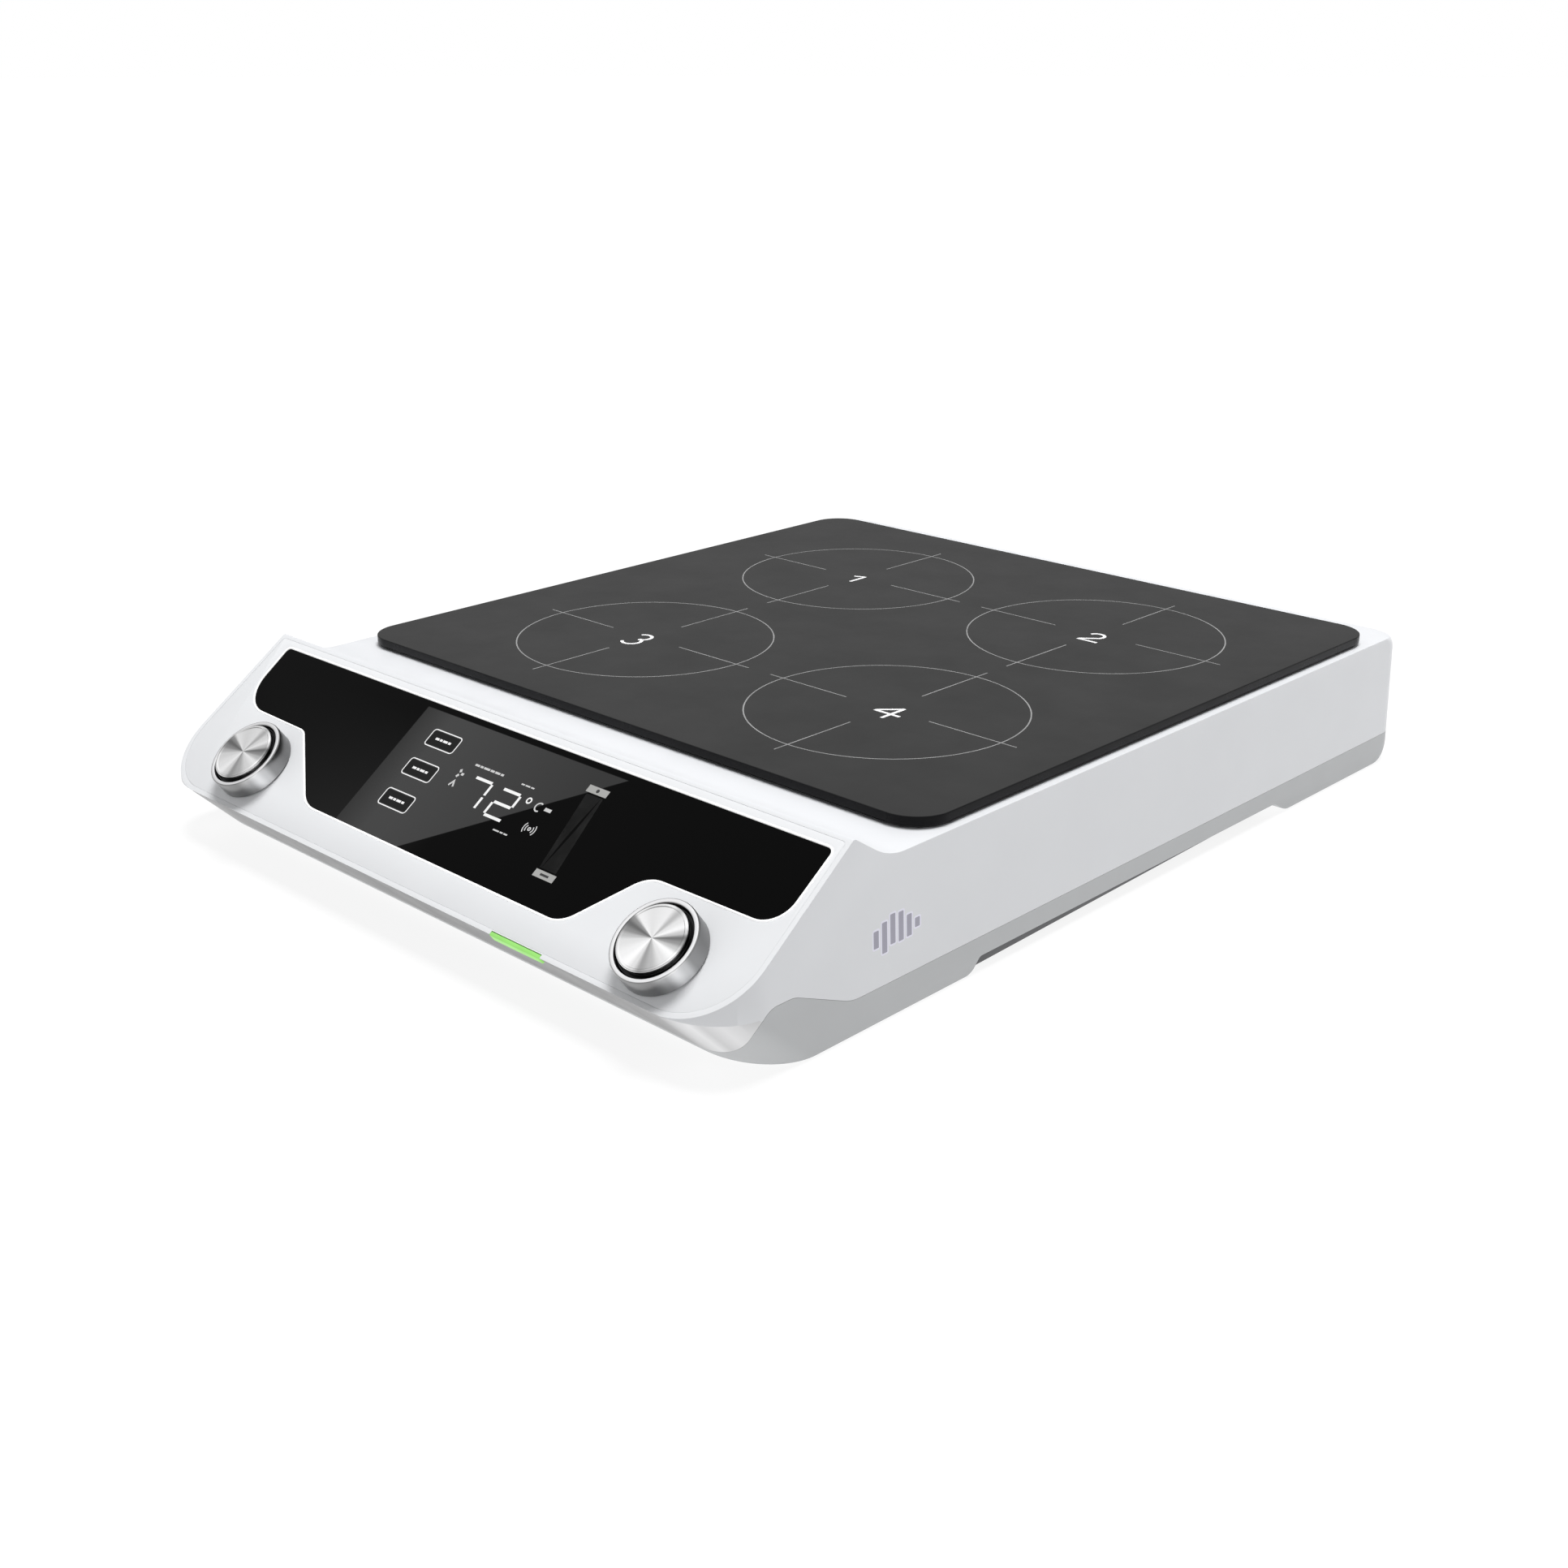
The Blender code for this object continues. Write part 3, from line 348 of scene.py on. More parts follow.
# The same for the knobs' skirts: painted highlights and shade in place of their reflections.
SKIRT_PAINTED_SHEEN = (
    (0, 0.34), (30, 0.22), (60, 0.18), (100, 0.5), (180, 0.7), (240, 0.45),
    (275, 0.28), (305, 0.26), (322, 0.5), (336, 0.95), (348, 0.7), (360, 0.34),
)

# Painted shade under the lip, with painted light streaks near the sides, from the middle to the side: the distance
# in mm and how light it is there.
UNDERCUT_PAINTED_TONES = (
    (0, 0.28), (120, 0.33), (138, 0.42), (146, 0.74), (151, 0.86), (155, 0.66), (160, 0.82), (167, 0.7),
)

WHITE = surface("white_moulding", (0.78, 0.79, 0.81), 0.42, drift=0.012, specular=0.4)
PANEL = surface("panel_moulding", (0.81, 0.82, 0.835), 0.45, drift=0.012, specular=0.4)
BASE = surface("base_moulding", (0.53, 0.54, 0.548), 0.5, drift=0.015, specular=0.35)
# The trim glows a little: painted light, not a lamp.
RIM_PAINTED_GLOW = surface("rim_moulding", (0.95, 0.95, 0.95), 0.25, drift=0.01, gloss=0.03, grain=0.02, glow=0.3)
BLACK = surface("black_moulding", (0.016, 0.016, 0.017), 0.45, drift=0.2, grain=0.25)
GLOSS_BLACK = surface("gloss_black", (0.008, 0.008, 0.009), 0.16, drift=0.2, gloss=0.03, grain=0.02)
# The plate's edge faces get a darker copy of the glass: painted shade on the edge.
GLASS_EDGE_SHADE = surface("glass_edge_painted_shade", (0.007, 0.007, 0.008), 0.3, drift=0.3, grain=0.05, specular=0.1)
RUBBER = surface("foot_rubber", (0.022, 0.022, 0.023), 0.78, drift=0.25, grain=0.5, grain_scale=900.0)
BARS = surface("sound_bars", (0.4, 0.39, 0.465), 0.55, drift=0.05)
# The pale rims round the sound slots are painted highlights along their edges.
RIM_PAINTED_HIGHLIGHT = surface("painted_rim_highlight", (0.88, 0.87, 0.97), 0.5, drift=0.02)
# Dark steel for the bottom cover, dark enough to stand in for the shade under the body: painted shade.
COVER_PAINTED_SHADE = surface("cover_steel_painted_shade", (0.12, 0.122, 0.126), 0.5, 0.3, drift=0.1, grain=0.4, grain_scale=900.0)
STEEL = surface("plated_steel", (0.55, 0.56, 0.58), 0.3, 1.0, drift=0.06, stretch=(1, 1, 6))
BRASS = surface("pin_brass", (0.72, 0.53, 0.26), 0.3, 1.0, drift=0.08)
BRIGHT = surface("turned_rim", (0.8, 0.8, 0.81), 0.2, 1.0, drift=0.02, gloss=0.04, grain=0.03)
INK = surface("place_ink", (0.29, 0.29, 0.29), 0.6, drift=0.15, drift_scale=60.0, grain=0.05)
NUMERAL_INK = surface("numeral_ink", (0.9, 0.9, 0.9), 0.55, drift=0.03, grain=0.05)
# The caps' and skirts' light and dark sectors are painted reflections, and they turn with the knob.
SPUN_CAP_PAINTED = spun_metal_painted_sheen("spun_cap_painted_sheen", CAP_PAINTED_SHEEN, 0.24)
SKIRT_PAINTED = spun_metal_painted_sheen("spun_skirt_painted_sheen", SKIRT_PAINTED_SHEEN, 0.32)
TOP_GLASS = surface(
    "ceramic_glass", (0.019, 0.019, 0.019), 0.42, drift=0.06, drift_scale=18.0, gloss_scale=40.0,
    grain=0.12, grain_scale=2600.0, grain_depth=0.02, specular=0.17,
)
WINDOW_GLASS = window_glass()
UNDERCUT_PAINTED_SHADE = undercut()
GREEN = lit("green_light", (0.36, 0.81, 0.205), 0.72, 0.3)
DISPLAY = lit("display_light", (0.72, 0.72, 0.72), 0.8)
DISPLAY_SOFT = lit("display_soft", (0.5, 0.5, 0.5), 0.75)
DISPLAY_DIM = lit("display_dim", (0.34, 0.34, 0.33), 0.7)
KEY_FILL = surface("key_fill", (0.012, 0.012, 0.012), 0.25, drift=0.2, grain=0.02, specular=0.05)
BAND = surface("slider_band", (0.019, 0.019, 0.019), 0.3, drift=0.4, drift_scale=80.0, specular=0.1)


# ---- mesh helpers


def add_object(name, data):
    made = bpy.data.objects.new(name, data)
    bpy.context.scene.collection.objects.link(made)
    return made


def place_mesh(name, mesh, matrix=Matrix.Identity(4)):
    """An object from a mesh in millimetres."""
    mesh.transform(Matrix.Scale(MM, 4))
    made = add_object(name, mesh)
    made.matrix_world = matrix
    return made


def closed_mesh(name, shape):
    """A mesh from a bmesh, with its faces turned outwards."""
    bmesh.ops.recalc_face_normals(shape, faces=shape.faces)
    mesh = bpy.data.meshes.new(name)
    shape.to_mesh(mesh)
    shape.free()
    return mesh


def apply_modifiers(target):
    bpy.context.view_layer.update()
    evaluated = target.evaluated_get(bpy.context.evaluated_depsgraph_get())
    mesh = bpy.data.meshes.new_from_object(evaluated)
    target.modifiers.clear()
    target.data = mesh
    return target


def boolean(target, mesh, operation="DIFFERENCE", matrix=Matrix.Identity(4)):
    """Cuts or joins a mesh in millimetres, at once."""
    tool = place_mesh("tool", mesh, matrix)
    modifier = target.modifiers.new("tool", "BOOLEAN")
    modifier.operation = operation
    modifier.object = tool
    apply_modifiers(target)
    bpy.data.objects.remove(tool)
    return target


def bevel(target, width, segments=3, degrees=28.0):
    clean = bmesh.new()
    clean.from_mesh(target.data)
    bmesh.ops.remove_doubles(clean, verts=clean.verts, dist=0.002 * MM)
    bmesh.ops.dissolve_degenerate(clean, edges=clean.edges, dist=0.002 * MM)
    flat = math.radians(0.3)
    bmesh.ops.dissolve_limit(clean, angle_limit=flat, verts=clean.verts, edges=clean.edges)
    clean.to_mesh(target.data)
    clean.free()
    modifier = target.modifiers.new("edges", "BEVEL")
    modifier.width = width * MM
    modifier.segments = segments
    modifier.angle_limit = math.radians(degrees)
    modifier.miter_outer = "MITER_ARC"
    modifier.use_clamp_overlap = True
    return apply_modifiers(target)


def finish_piece(target, material, nodes=(), body="housing", degrees=32.0):
    """Shades a piece, gives it its material and hangs it on its body."""
    target.data.materials.clear()
    target.data.materials.append(material)
    target.data.shade_smooth()
    target.data.set_sharp_from_angle(angle=math.radians(degrees))
    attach(target, body)
    if nodes:
        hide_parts(*nodes)
    return target


def add_mark(name, shape, material, matrix=CONSOLE, body="housing"):
    """A printed or lit mark, by default on the window; it replaces no node."""
    finish_piece(place_mesh(name, closed_mesh(name, shape), matrix), material, (), body)


def offset_outline(outline, distance):
    """The outline of (x, y, radius) corners moved outwards by distance; it runs anticlockwise."""
    moved = []
    count = len(outline)
    for i, (x, y, radius) in enumerate(outline):
        here = Vector((x, y))
        before = (here - Vector(outline[i - 1][:2])).normalized()
        after = (Vector(outline[(i + 1) % count][:2]) - here).normalized()
        normal_before = Vector((before.y, -before.x))
        normal_after = Vector((after.y, -after.x))
        bisector = (normal_before + normal_after).normalized()
        place = here + bisector * (distance / bisector.dot(normal_after))
        grown = radius + math.copysign(distance, before.cross(after))
        moved.append((place.x, place.y, max(0.0, grown)))
    return moved


def round_corners(outline, steps=12):
    """Points of a closed outline whose corners (x, y, radius) are rounded by arcs."""
    points = []
    count = len(outline)
    for i, (x, y, radius) in enumerate(outline):
        here = Vector((x, y))
        if radius == 0:
            points.append(here)
            continue
        before = (Vector(outline[i - 1][:2]) - here).normalized()
        after = (Vector(outline[(i + 1) % count][:2]) - here).normalized()
        half_angle = before.angle(after) / 2
        centre = here + (before + after).normalized() * (radius / math.sin(half_angle))
        start = here + before * (radius / math.tan(half_angle)) - centre
        sweep = math.copysign(math.pi - 2 * half_angle, -before.cross(after))
        for step in range(steps + 1):
            points.append(centre + Matrix.Rotation(sweep * step / steps, 2) @ start)
    return points


def prism(outline, low, high, steps=12):
    """A mesh from an outline of rounded corners, extruded from z = low to z = high."""
    shape = bmesh.new()
    points = round_corners(outline, steps)
    floor = shape.faces.new([shape.verts.new((p.x, p.y, low)) for p in points])
    floor.normal_update()
    if floor.normal.z > 0:
        floor.normal_flip()
    raised = bmesh.ops.extrude_face_region(shape, geom=[floor])["geom"]
    tops = [item for item in raised if isinstance(item, bmesh.types.BMVert)]
    bmesh.ops.translate(shape, verts=tops, vec=(0, 0, high - low))
    return closed_mesh("prism", shape)


def rectangle(x_range, y_range, radius=0.0):
    (left, right), (front, rear) = x_range, y_range
    return [(x, y, radius) for x, y in ((left, front), (right, front), (right, rear), (left, rear))]


def around(x, y, half_width, half_height, radius):
    """A rectangle's outline, by its centre."""
    return rectangle((x - half_width, x + half_width), (y - half_height, y + half_height), radius)


def boxes(corners):
    """One mesh of separate boxes, each (low corner, high corner)."""
    shape = bmesh.new()
    for low, high in corners:
        made = bmesh.ops.create_cube(shape, size=1.0)["verts"]
        low, high = Vector(low), Vector(high)
        bmesh.ops.scale(shape, verts=made, vec=high - low)
        bmesh.ops.translate(shape, verts=made, vec=(low + high) / 2)
    return closed_mesh("boxes", shape)


def block(centre, size):
    half = Vector(size) / 2
    return Vector(centre) - half, Vector(centre) + half


def rods(places, radius, low, high, steps=48):
    shape = bmesh.new()
    for x, y in places:
        made = bmesh.ops.create_cone(
            shape, cap_ends=True, segments=steps, radius1=radius, radius2=radius, depth=high - low
        )
        bmesh.ops.translate(shape, verts=made["verts"], vec=(x, y, (low + high) / 2))
    return closed_mesh("rods", shape)


def heading(degrees):
    return Vector((math.cos(math.radians(degrees)), math.sin(math.radians(degrees))))


def arc(centre, radius, start, end, steps=6):
    """Points along an arc, by degrees; a full circle doesn't repeat its first point."""
    points = []
    for step in range(steps if end - start == 360 else steps + 1):
        angle = math.radians(start + (end - start) * step / steps)
        points.append((centre[0] + radius * math.cos(angle), centre[1] + radius * math.sin(angle)))
    return points


def circle(centre, radius, steps):
    return arc(centre, radius, 0, 360, steps)


def turned(profile, steps=96):
    """A mesh: a profile of (radius, z), outer side downwards, turned about z."""
    shape = bmesh.new()
    verts = [shape.verts.new((radius, 0.0, z)) for radius, z in profile]
    edges = [shape.edges.new(pair) for pair in zip(verts, verts[1:])]
    if profile[0][0] > 0:
        edges.append(shape.edges.new((verts[-1], verts[0])))
    bmesh.ops.spin(
        shape, geom=verts + edges, cent=(0, 0, 0), axis=(0, 0, 1), angle=math.tau, steps=steps
    )
    bmesh.ops.remove_doubles(shape, verts=shape.verts, dist=0.001)
    return closed_mesh("turned", shape)


def strip(shape, points, width, closed=False, low=PANE_Z, height=INK_HEIGHT):
    """Adds a flat strip of one width along a path in x and y, mitred at its corners."""
    path = [Vector(p) for p in points]
    count = len(path)
    sides = []
    for i, here in enumerate(path):
        before = path[i - 1] if i or closed else None
        after = path[(i + 1) % count] if i < count - 1 or closed else None
        into = (here - before).normalized() if before else (after - here).normalized()
        out = (after - here).normalized() if after else into
        bisector = Vector((-(into.y + out.y), into.x + out.x)).normalized()
        normal = Vector((-out.y, out.x))
        reach = width / 2 / max(0.4, bisector.dot(normal))
        sides.append((here + bisector * reach, here - bisector * reach))
    rows = []
    for left, right in sides:
        corners = ((left, low), (right, low), (right, low + height), (left, low + height))
        rows.append([shape.verts.new((p.x, p.y, z)) for p, z in corners])
    spans = count if closed else count - 1
    for i in range(spans):
        one, two = rows[i], rows[(i + 1) % count]
        for k in range(4):
            shape.faces.new((one[k], two[k], two[(k + 1) % 4], one[(k + 1) % 4]))
    if not closed:
        shape.faces.new(rows[0])
        shape.faces.new(rows[-1][::-1])


# ---- body shapes


def body_ring(z, inset, rear_inset):
    """Points of the body's section at height z, drawn in by inset, and by rear_inset behind."""
    rise = (z - BOTTOM_Z) / (BODY_TOP_Z - BOTTOM_Z)
    half_width = HALF_WIDTH_LOW + (HALF_WIDTH_HIGH - HALF_WIDTH_LOW) * rise - inset
    front = FRONT_Y + max(0.0, LIP_Z - z) + inset
    under = max(0.0, BOTTOM_Z + REAR_ROUND - z)
    over = min(DECK_ROUND, max(0.0, z - SHOULDER_Z - rear_inset))
    rear = REAR_Y - REAR_ROUND + math.sqrt(max(0.0, REAR_ROUND**2 - under**2)) - rear_inset
    rear += math.sqrt(DECK_ROUND**2 - over**2) - DECK_ROUND
    width, depth = CORNER_WIDTH - inset, CORNER_DEPTH - inset
    corner = REAR_CORNER - inset
    quarters = (
        (half_width - corner, rear - corner, corner, corner, 10),
        (corner - half_width, rear - corner, corner, corner, 10),
        (width - half_width, front + depth, width, depth, 24),
        (half_width - width, front + depth, width, depth, 24),
    )
    points = []
    for quarter, (x, y, across, along, steps) in enumerate(quarters):
        for step in range(steps + 1):
            angle = (quarter + step / steps) * math.pi / 2
            points.append((x + across * math.cos(angle), y + along * math.sin(angle), z))
    return points


def body_loft(heights, inset=0.0, rear_inset=0.0):
    shape = bmesh.new()
    rings = []
    for z in heights:
        rings.append([shape.verts.new(place) for place in body_ring(z, inset, rear_inset)])
    for lower, upper in zip(rings, rings[1:]):
        for i in range(len(lower)):
            shape.faces.new((lower[i - 1], lower[i], upper[i], upper[i - 1]))
    shape.faces.new(rings[0][::-1])
    shape.faces.new(rings[-1])
    return closed_mesh("loft", shape)


def above_outline(drop, slope_drop, ridge_radius=0.0):
    """The region over the deck, ridge and slope, lowered by drop and, on the slope, slope_drop."""
    deck = DECK_Z - drop
    ridge_y = RIDGE_Y + drop * 0.4
    ridge_z = RIDGE_Z - slope_drop / math.cos(SLOPE) + (ridge_y - RIDGE_Y) * math.tan(SLOPE)
    foot_y = ridge_y + (ridge_z - deck) / math.tan(RIDGE_BACK)
    reach = FRONT_Y - 20.0
    start_z = ridge_z - (ridge_y - reach) * math.tan(SLOPE)
    slope = [(reach, start_z, 0.0), (ridge_y, ridge_z, ridge_radius), (foot_y, deck, 26.0)]
    return [*slope, (REAR_Y + 20.0, deck, 0.0), (REAR_Y + 20.0, FAR, 0.0), (reach, FAR, 0.0)]


def below_outline(gap):
    """The region under the seam between housing and base, drawn in by gap."""
    top = [(y, z - gap, radius) for y, z, radius in SEAM]
    y, z, radius = SEAM_FRONT
    return [*top, (y + gap, z - gap, radius), (y + gap, -20.0, 0.0), (SEAM[0][0], -20.0, 0.0)]


OUTER_HEIGHTS = [BOTTOM_Z + REAR_ROUND * (1 - math.cos(math.radians(a))) for a in range(0, 91, 10)]
OUTER_HEIGHTS.append(LIP_Z)
SHOULDER_HEIGHTS = [SHOULDER_Z + DECK_ROUND * math.sin(math.radians(a)) for a in range(0, 91, 10)]
TRAY_TOP_Z = 26.0
INNER_HEIGHTS = (FLOOR_Z, 9.0, LIP_Z, DECK_Z - WALL, BODY_TOP_Z - 0.5)


def slope_half_width(y):
    rise = (RIDGE_Z + y * math.sin(SLOPE) - BOTTOM_Z) / (BODY_TOP_Z - BOTTOM_Z)
    return HALF_WIDTH_LOW + (HALF_WIDTH_HIGH - HALF_WIDTH_LOW) * rise


def fascia_outline(inset):
    high = slope_half_width(0.0) - inset
    low = slope_half_width(-SLOPE_LENGTH) - inset
    foot = inset - SLOPE_LENGTH
    corner = CORNER_WIDTH - inset
    return [(-high, -inset, 1.5), (-low, foot, corner), (low, foot, corner), (high, -inset, 1.5)]


def cut_cavity(target):
    """Hollows the body out, above and below the seam."""
    hollow = place_mesh("hollow", body_loft(INNER_HEIGHTS, WALL, REAR_WALL))
    boolean(hollow, prism(above_outline(WALL, SLOPE_WALL), -FAR, FAR), matrix=ALONG_X)
    step = ((-FAR, ARCH_FRONT_Y - 8.0, -10.0), (FAR, ARCH_REAR_Y + 8.0, ARCH_Z + WALL))
    boolean(hollow, boxes([step]))
    hollow.data.transform(Matrix.Scale(1 / MM, 4))
    boolean(target, hollow.data)
    bpy.data.objects.remove(hollow)


# ---- housing

SHELF = 9.5
LIGHT_LOW, LIGHT_HIGH = box_mm("status_light")
FAN_CENTRE = centre_mm("fan_frame")
FAN_SLOT_STEP = 5.4
FAN_SLOT_HALF = 1.3
FAN_REACH = 18.0
FLANGE_GAP = 0.3
FLANGE_THICK = 1.8
FEET = ("foot_front_left", "foot_front_right", "foot_rear_left", "foot_rear_right")
FOOT_HOLE = 9.3
SCREWS = ("case_screw_1", "case_screw_2", "case_screw_3", "case_screw_4")
SCREW_HOLE = 3.6
FRONT_SLOTS = [(x, y) for x in (-80.0, 80.0) for y in (-170.0, -154.0)]
COVER_SLOTS = [(x, y) for x in range(-30, 31, 15) for y in (-40.0, 60.0)]
SLOT_LONG = 14.0
SLOT_SHORT = 1.5


def cut_slots(target, places, half_x, half_y):
    """Cuts slots with round ends up through the underside."""
    for x, y in places:
        boolean(target, prism(around(x, y, half_x, half_y, 1.4), -2.0, 20.0, 6))


def cut_rear(target, outline, face, out, depth, steps, operation="DIFFERENCE"):
    """Cuts or joins an outline of (x, z), from out behind the rear face to depth inside it."""
    boolean(target, prism(outline, -out - face, depth - face, steps), operation, ALONG_REAR)


def rear_outline(low, high, margin, radius):
    """A box's outline in x and z, grown by margin."""
    return rectangle((low.x - margin, high.x + margin), (low.z - margin, high.z + margin), radius)


def make_housing():
    shell = place_mesh("housing_shell", body_loft((*OUTER_HEIGHTS, *SHOULDER_HEIGHTS, BODY_TOP_Z)))
    boolean(shell, prism(above_outline(0.0, 0.0, 1.6), -FAR, FAR, 8), matrix=ALONG_X)
    bevel(shell, 0.7)
    boolean(shell, prism(below_outline(0.0), -FAR, FAR, 16), matrix=ALONG_X)
    cut_cavity(shell)
    deck_hole = rectangle(
        (PLATE_LOW.x + SHELF, PLATE_HIGH.x - SHELF), (PLATE_LOW.y + SHELF, PLATE_HIGH.y - SHELF), 8.0
    )
    boolean(shell, prism(deck_hole, DECK_Z - 8.7, DECK_Z + 6.3))
    recess = offset_outline(fascia_outline(FASCIA_INSET), PANEL_GAP)
    boolean(shell, prism(recess, -FASCIA_THICK - 0.3, 5.0, 24), matrix=CONSOLE)
    boolean(shell, prism(fascia_outline(FASCIA_INSET + 5.0), -12.0, 0.0), matrix=CONSOLE)
    low = (LIGHT_LOW.x - 0.1, -SLOPE_LENGTH - 3.0, -3.7)
    high = (LIGHT_HIGH.x + 0.1, -SLOPE_LENGTH + 1.5, 2.0)
    boolean(shell, boxes([(low, high)]), matrix=CONSOLE)
    for i in range(-3, 4):
        tall = math.sqrt(FAN_REACH**2 - (i * FAN_SLOT_STEP) ** 2)
        slot = around(FAN_CENTRE.x + i * FAN_SLOT_STEP, FAN_CENTRE.z, FAN_SLOT_HALF, tall, 1.2)
        cut_rear(shell, slot, REAR_Y, 8.0, 8.0, 6)
    for node in ("power_inlet", "switch_body"):
        low, high = box_mm(node)
        cut_rear(shell, rear_outline(low, high, FLANGE_GAP, 2.3), REAR_Y, 5.0, 2.2, 6)
        cut_rear(shell, rear_outline(low, high, FLANGE_GAP - 2.0, 1.0), REAR_Y, 5.0, 9.0, 4)
    finish_piece(shell, WHITE, ["upper_housing"], degrees=25.0)
    paint_faces(shell, PANEL, faces_slope)
    # The leaning wall under the lip gets painted shade, with painted light streaks near the sides.
    paint_faces(shell, UNDERCUT_PAINTED_SHADE, faces_in_painted_shade)


def faces_slope(face):
    """Tells whether a face lies on the console's slope."""
    return face.normal.z > 0.7 and face.normal.y < -0.45 and face.center.y < RIDGE_Y * MM


def faces_in_painted_shade(face):
    """Tells whether a face is part of the leaning wall under the lip, which is painted with shade."""
    low_front = face.center.z < LIP_Z * MM and face.center.y < (FRONT_Y + 40.0) * MM
    return low_front and face.normal.z < -0.12


def paint_faces(target, material, chosen):
    target.data.materials.append(material)
    index = len(target.data.materials) - 1
    for face in target.data.polygons:
        if chosen(face):
            face.material_index = index


def make_base():
    shell = place_mesh("base_shell", body_loft((*OUTER_HEIGHTS, TRAY_TOP_Z)))
    sole = BOTTOM_Z - 0.05
    front, rear = ARCH_FRONT_Y - 30.0, ARCH_REAR_Y + 40.0
    arch = [
        (front, -9.0, 0.0), (rear, -9.0, 0.0), (rear, sole, 0.0), (ARCH_REAR_Y + 8.6, sole, 14.0),
        (ARCH_REAR_Y, ARCH_Z, 8.0), (ARCH_FRONT_Y, ARCH_Z, 3.0), (ARCH_FRONT_Y - 5.1, sole, 8.0),
        (front, sole, 0.0),
    ]
    boolean(shell, prism(arch, -FAR, FAR, 10), matrix=ALONG_X)
    bevel(shell, 0.5)
    boolean(shell, prism(below_outline(SEAM_GAP), -FAR, FAR, 16), "INTERSECT", ALONG_X)
    cut_cavity(shell)
    boolean(shell, rods([centre_mm(node).xy for node in FEET], FOOT_HOLE, -2.0, 2.5))
    boolean(shell, rods([centre_mm(node).xy for node in SCREWS], SCREW_HOLE, -2.0, 3.4))
    cut_slots(shell, FRONT_SLOTS, SLOT_LONG + 1.0, SLOT_SHORT)
    cut_slots(shell, COVER_SLOTS, SLOT_SHORT, SLOT_LONG)
    finish_piece(shell, BASE, ["base_tray"], degrees=25.0)


# The bottom cover hangs a little below the arch's edge and is dark, so that it stands in for the shade under the
# body: painted shade on a real cover.
def make_cover():
    low, high = box_mm("bottom_cover")
    front = ARCH_FRONT_Y + 3.0
    side = [
        (front, high.z, 0.5), (front - 6.8, 1.3, 0.6), (front - 1.6, 1.2, 4.0),
        (high.y, 4.5, 0.5), (high.y, high.z, 0.5),
    ]
    cover = place_mesh("cover_sheet", prism(side, low.x, high.x, 6), ALONG_X)
    cover.data.transform(cover.matrix_world)
    cover.matrix_world = Matrix.Identity(4)
    hollow = ((low.x + 2.0, low.y - 20.0, -5.0), (high.x - 2.0, high.y - 2.0, 3.6))
    boolean(cover, boxes([hollow]))
    bevel(cover, 0.3, 2)
    cut_slots(cover, COVER_SLOTS, SLOT_SHORT, SLOT_LONG)
    finish_piece(cover, COVER_PAINTED_SHADE, ["bottom_cover"])


def make_feet():
    for node in FEET:
        low, high = box_mm(node)
        radius = (high.x - low.x) / 2
        edge = arc((radius - 0.6, low.z + 0.6), 0.6, 0, -90, 4)
        groove = arc((radius * 0.62, low.z), 0.45, 0, 180, 6)
        profile = [(0, high.z), (radius, high.z), *edge, *groove, (0, low.z)]
        pad = place_mesh(node + "_pad", turned(profile, 64))
        pad.location = (*centre_mm(node).xy * MM, 0)
        finish_piece(pad, RUBBER, [node])


def make_screws():
    """Screws with a domed head and a cross recess."""
    head, shaft = 3.2, 1.5
    for node in SCREWS:
        top = box_mm(node)[1].z
        stem = [(0, top), (shaft, top), (shaft, 4.2), (head, 4.2), (head, 3.0)]
        dome = [(head * math.cos(step / 10), 3.0 - math.sin(step / 10)) for step in range(1, 15)]
        screw = place_mesh(node + "_head", turned([*stem, *dome, (0, 2.0)], 32))
        screw.location = (*centre_mm(node).xy * MM, 0)
        for size in ((3.6, 0.9, 2.0), (0.9, 3.6, 2.0)):
            boolean(screw, boxes([block((0, 0, 2.2), size)]), matrix=Matrix.Translation(screw.location))
        finish_piece(screw, STEEL, [node])


# ---- glass top

PLACES = {number: Vector(JOINTS[f"stirrer_{number}_spin"]["pos_m"]) / MM for number in (1, 2, 3, 4)}
MARK_RADIUS = 56.3
MARK_WIDTH = 0.55
NUMERAL_WIDTH = 1.5
NUMERALS = {
    1: [[(-2.8, 0.4), (1.9, 2.6)], [(2.3, 3.2), (2.3, -8.4)]],
    2: [
        [*reversed(arc((2.0, -1.6), 3.6, -35.0, 165.0, 10)), (-1.9, -9.4)],
        [(-2.4, -9.8), (7.9, -9.8)],
    ],
    3: [
        [*reversed(arc((-0.6, -0.8), 3.8, -80.0, 150.0, 10))],
        [*reversed(arc((-0.4, -7.9), 4.3, -145.0, 85.0, 10))],
    ],
    4: [[(-2.4, -3.3), (5.0, 4.0)], [(-3.0, -3.8), (9.9, -3.8)], [(5.3, 4.8), (5.3, -9.4)]],
}


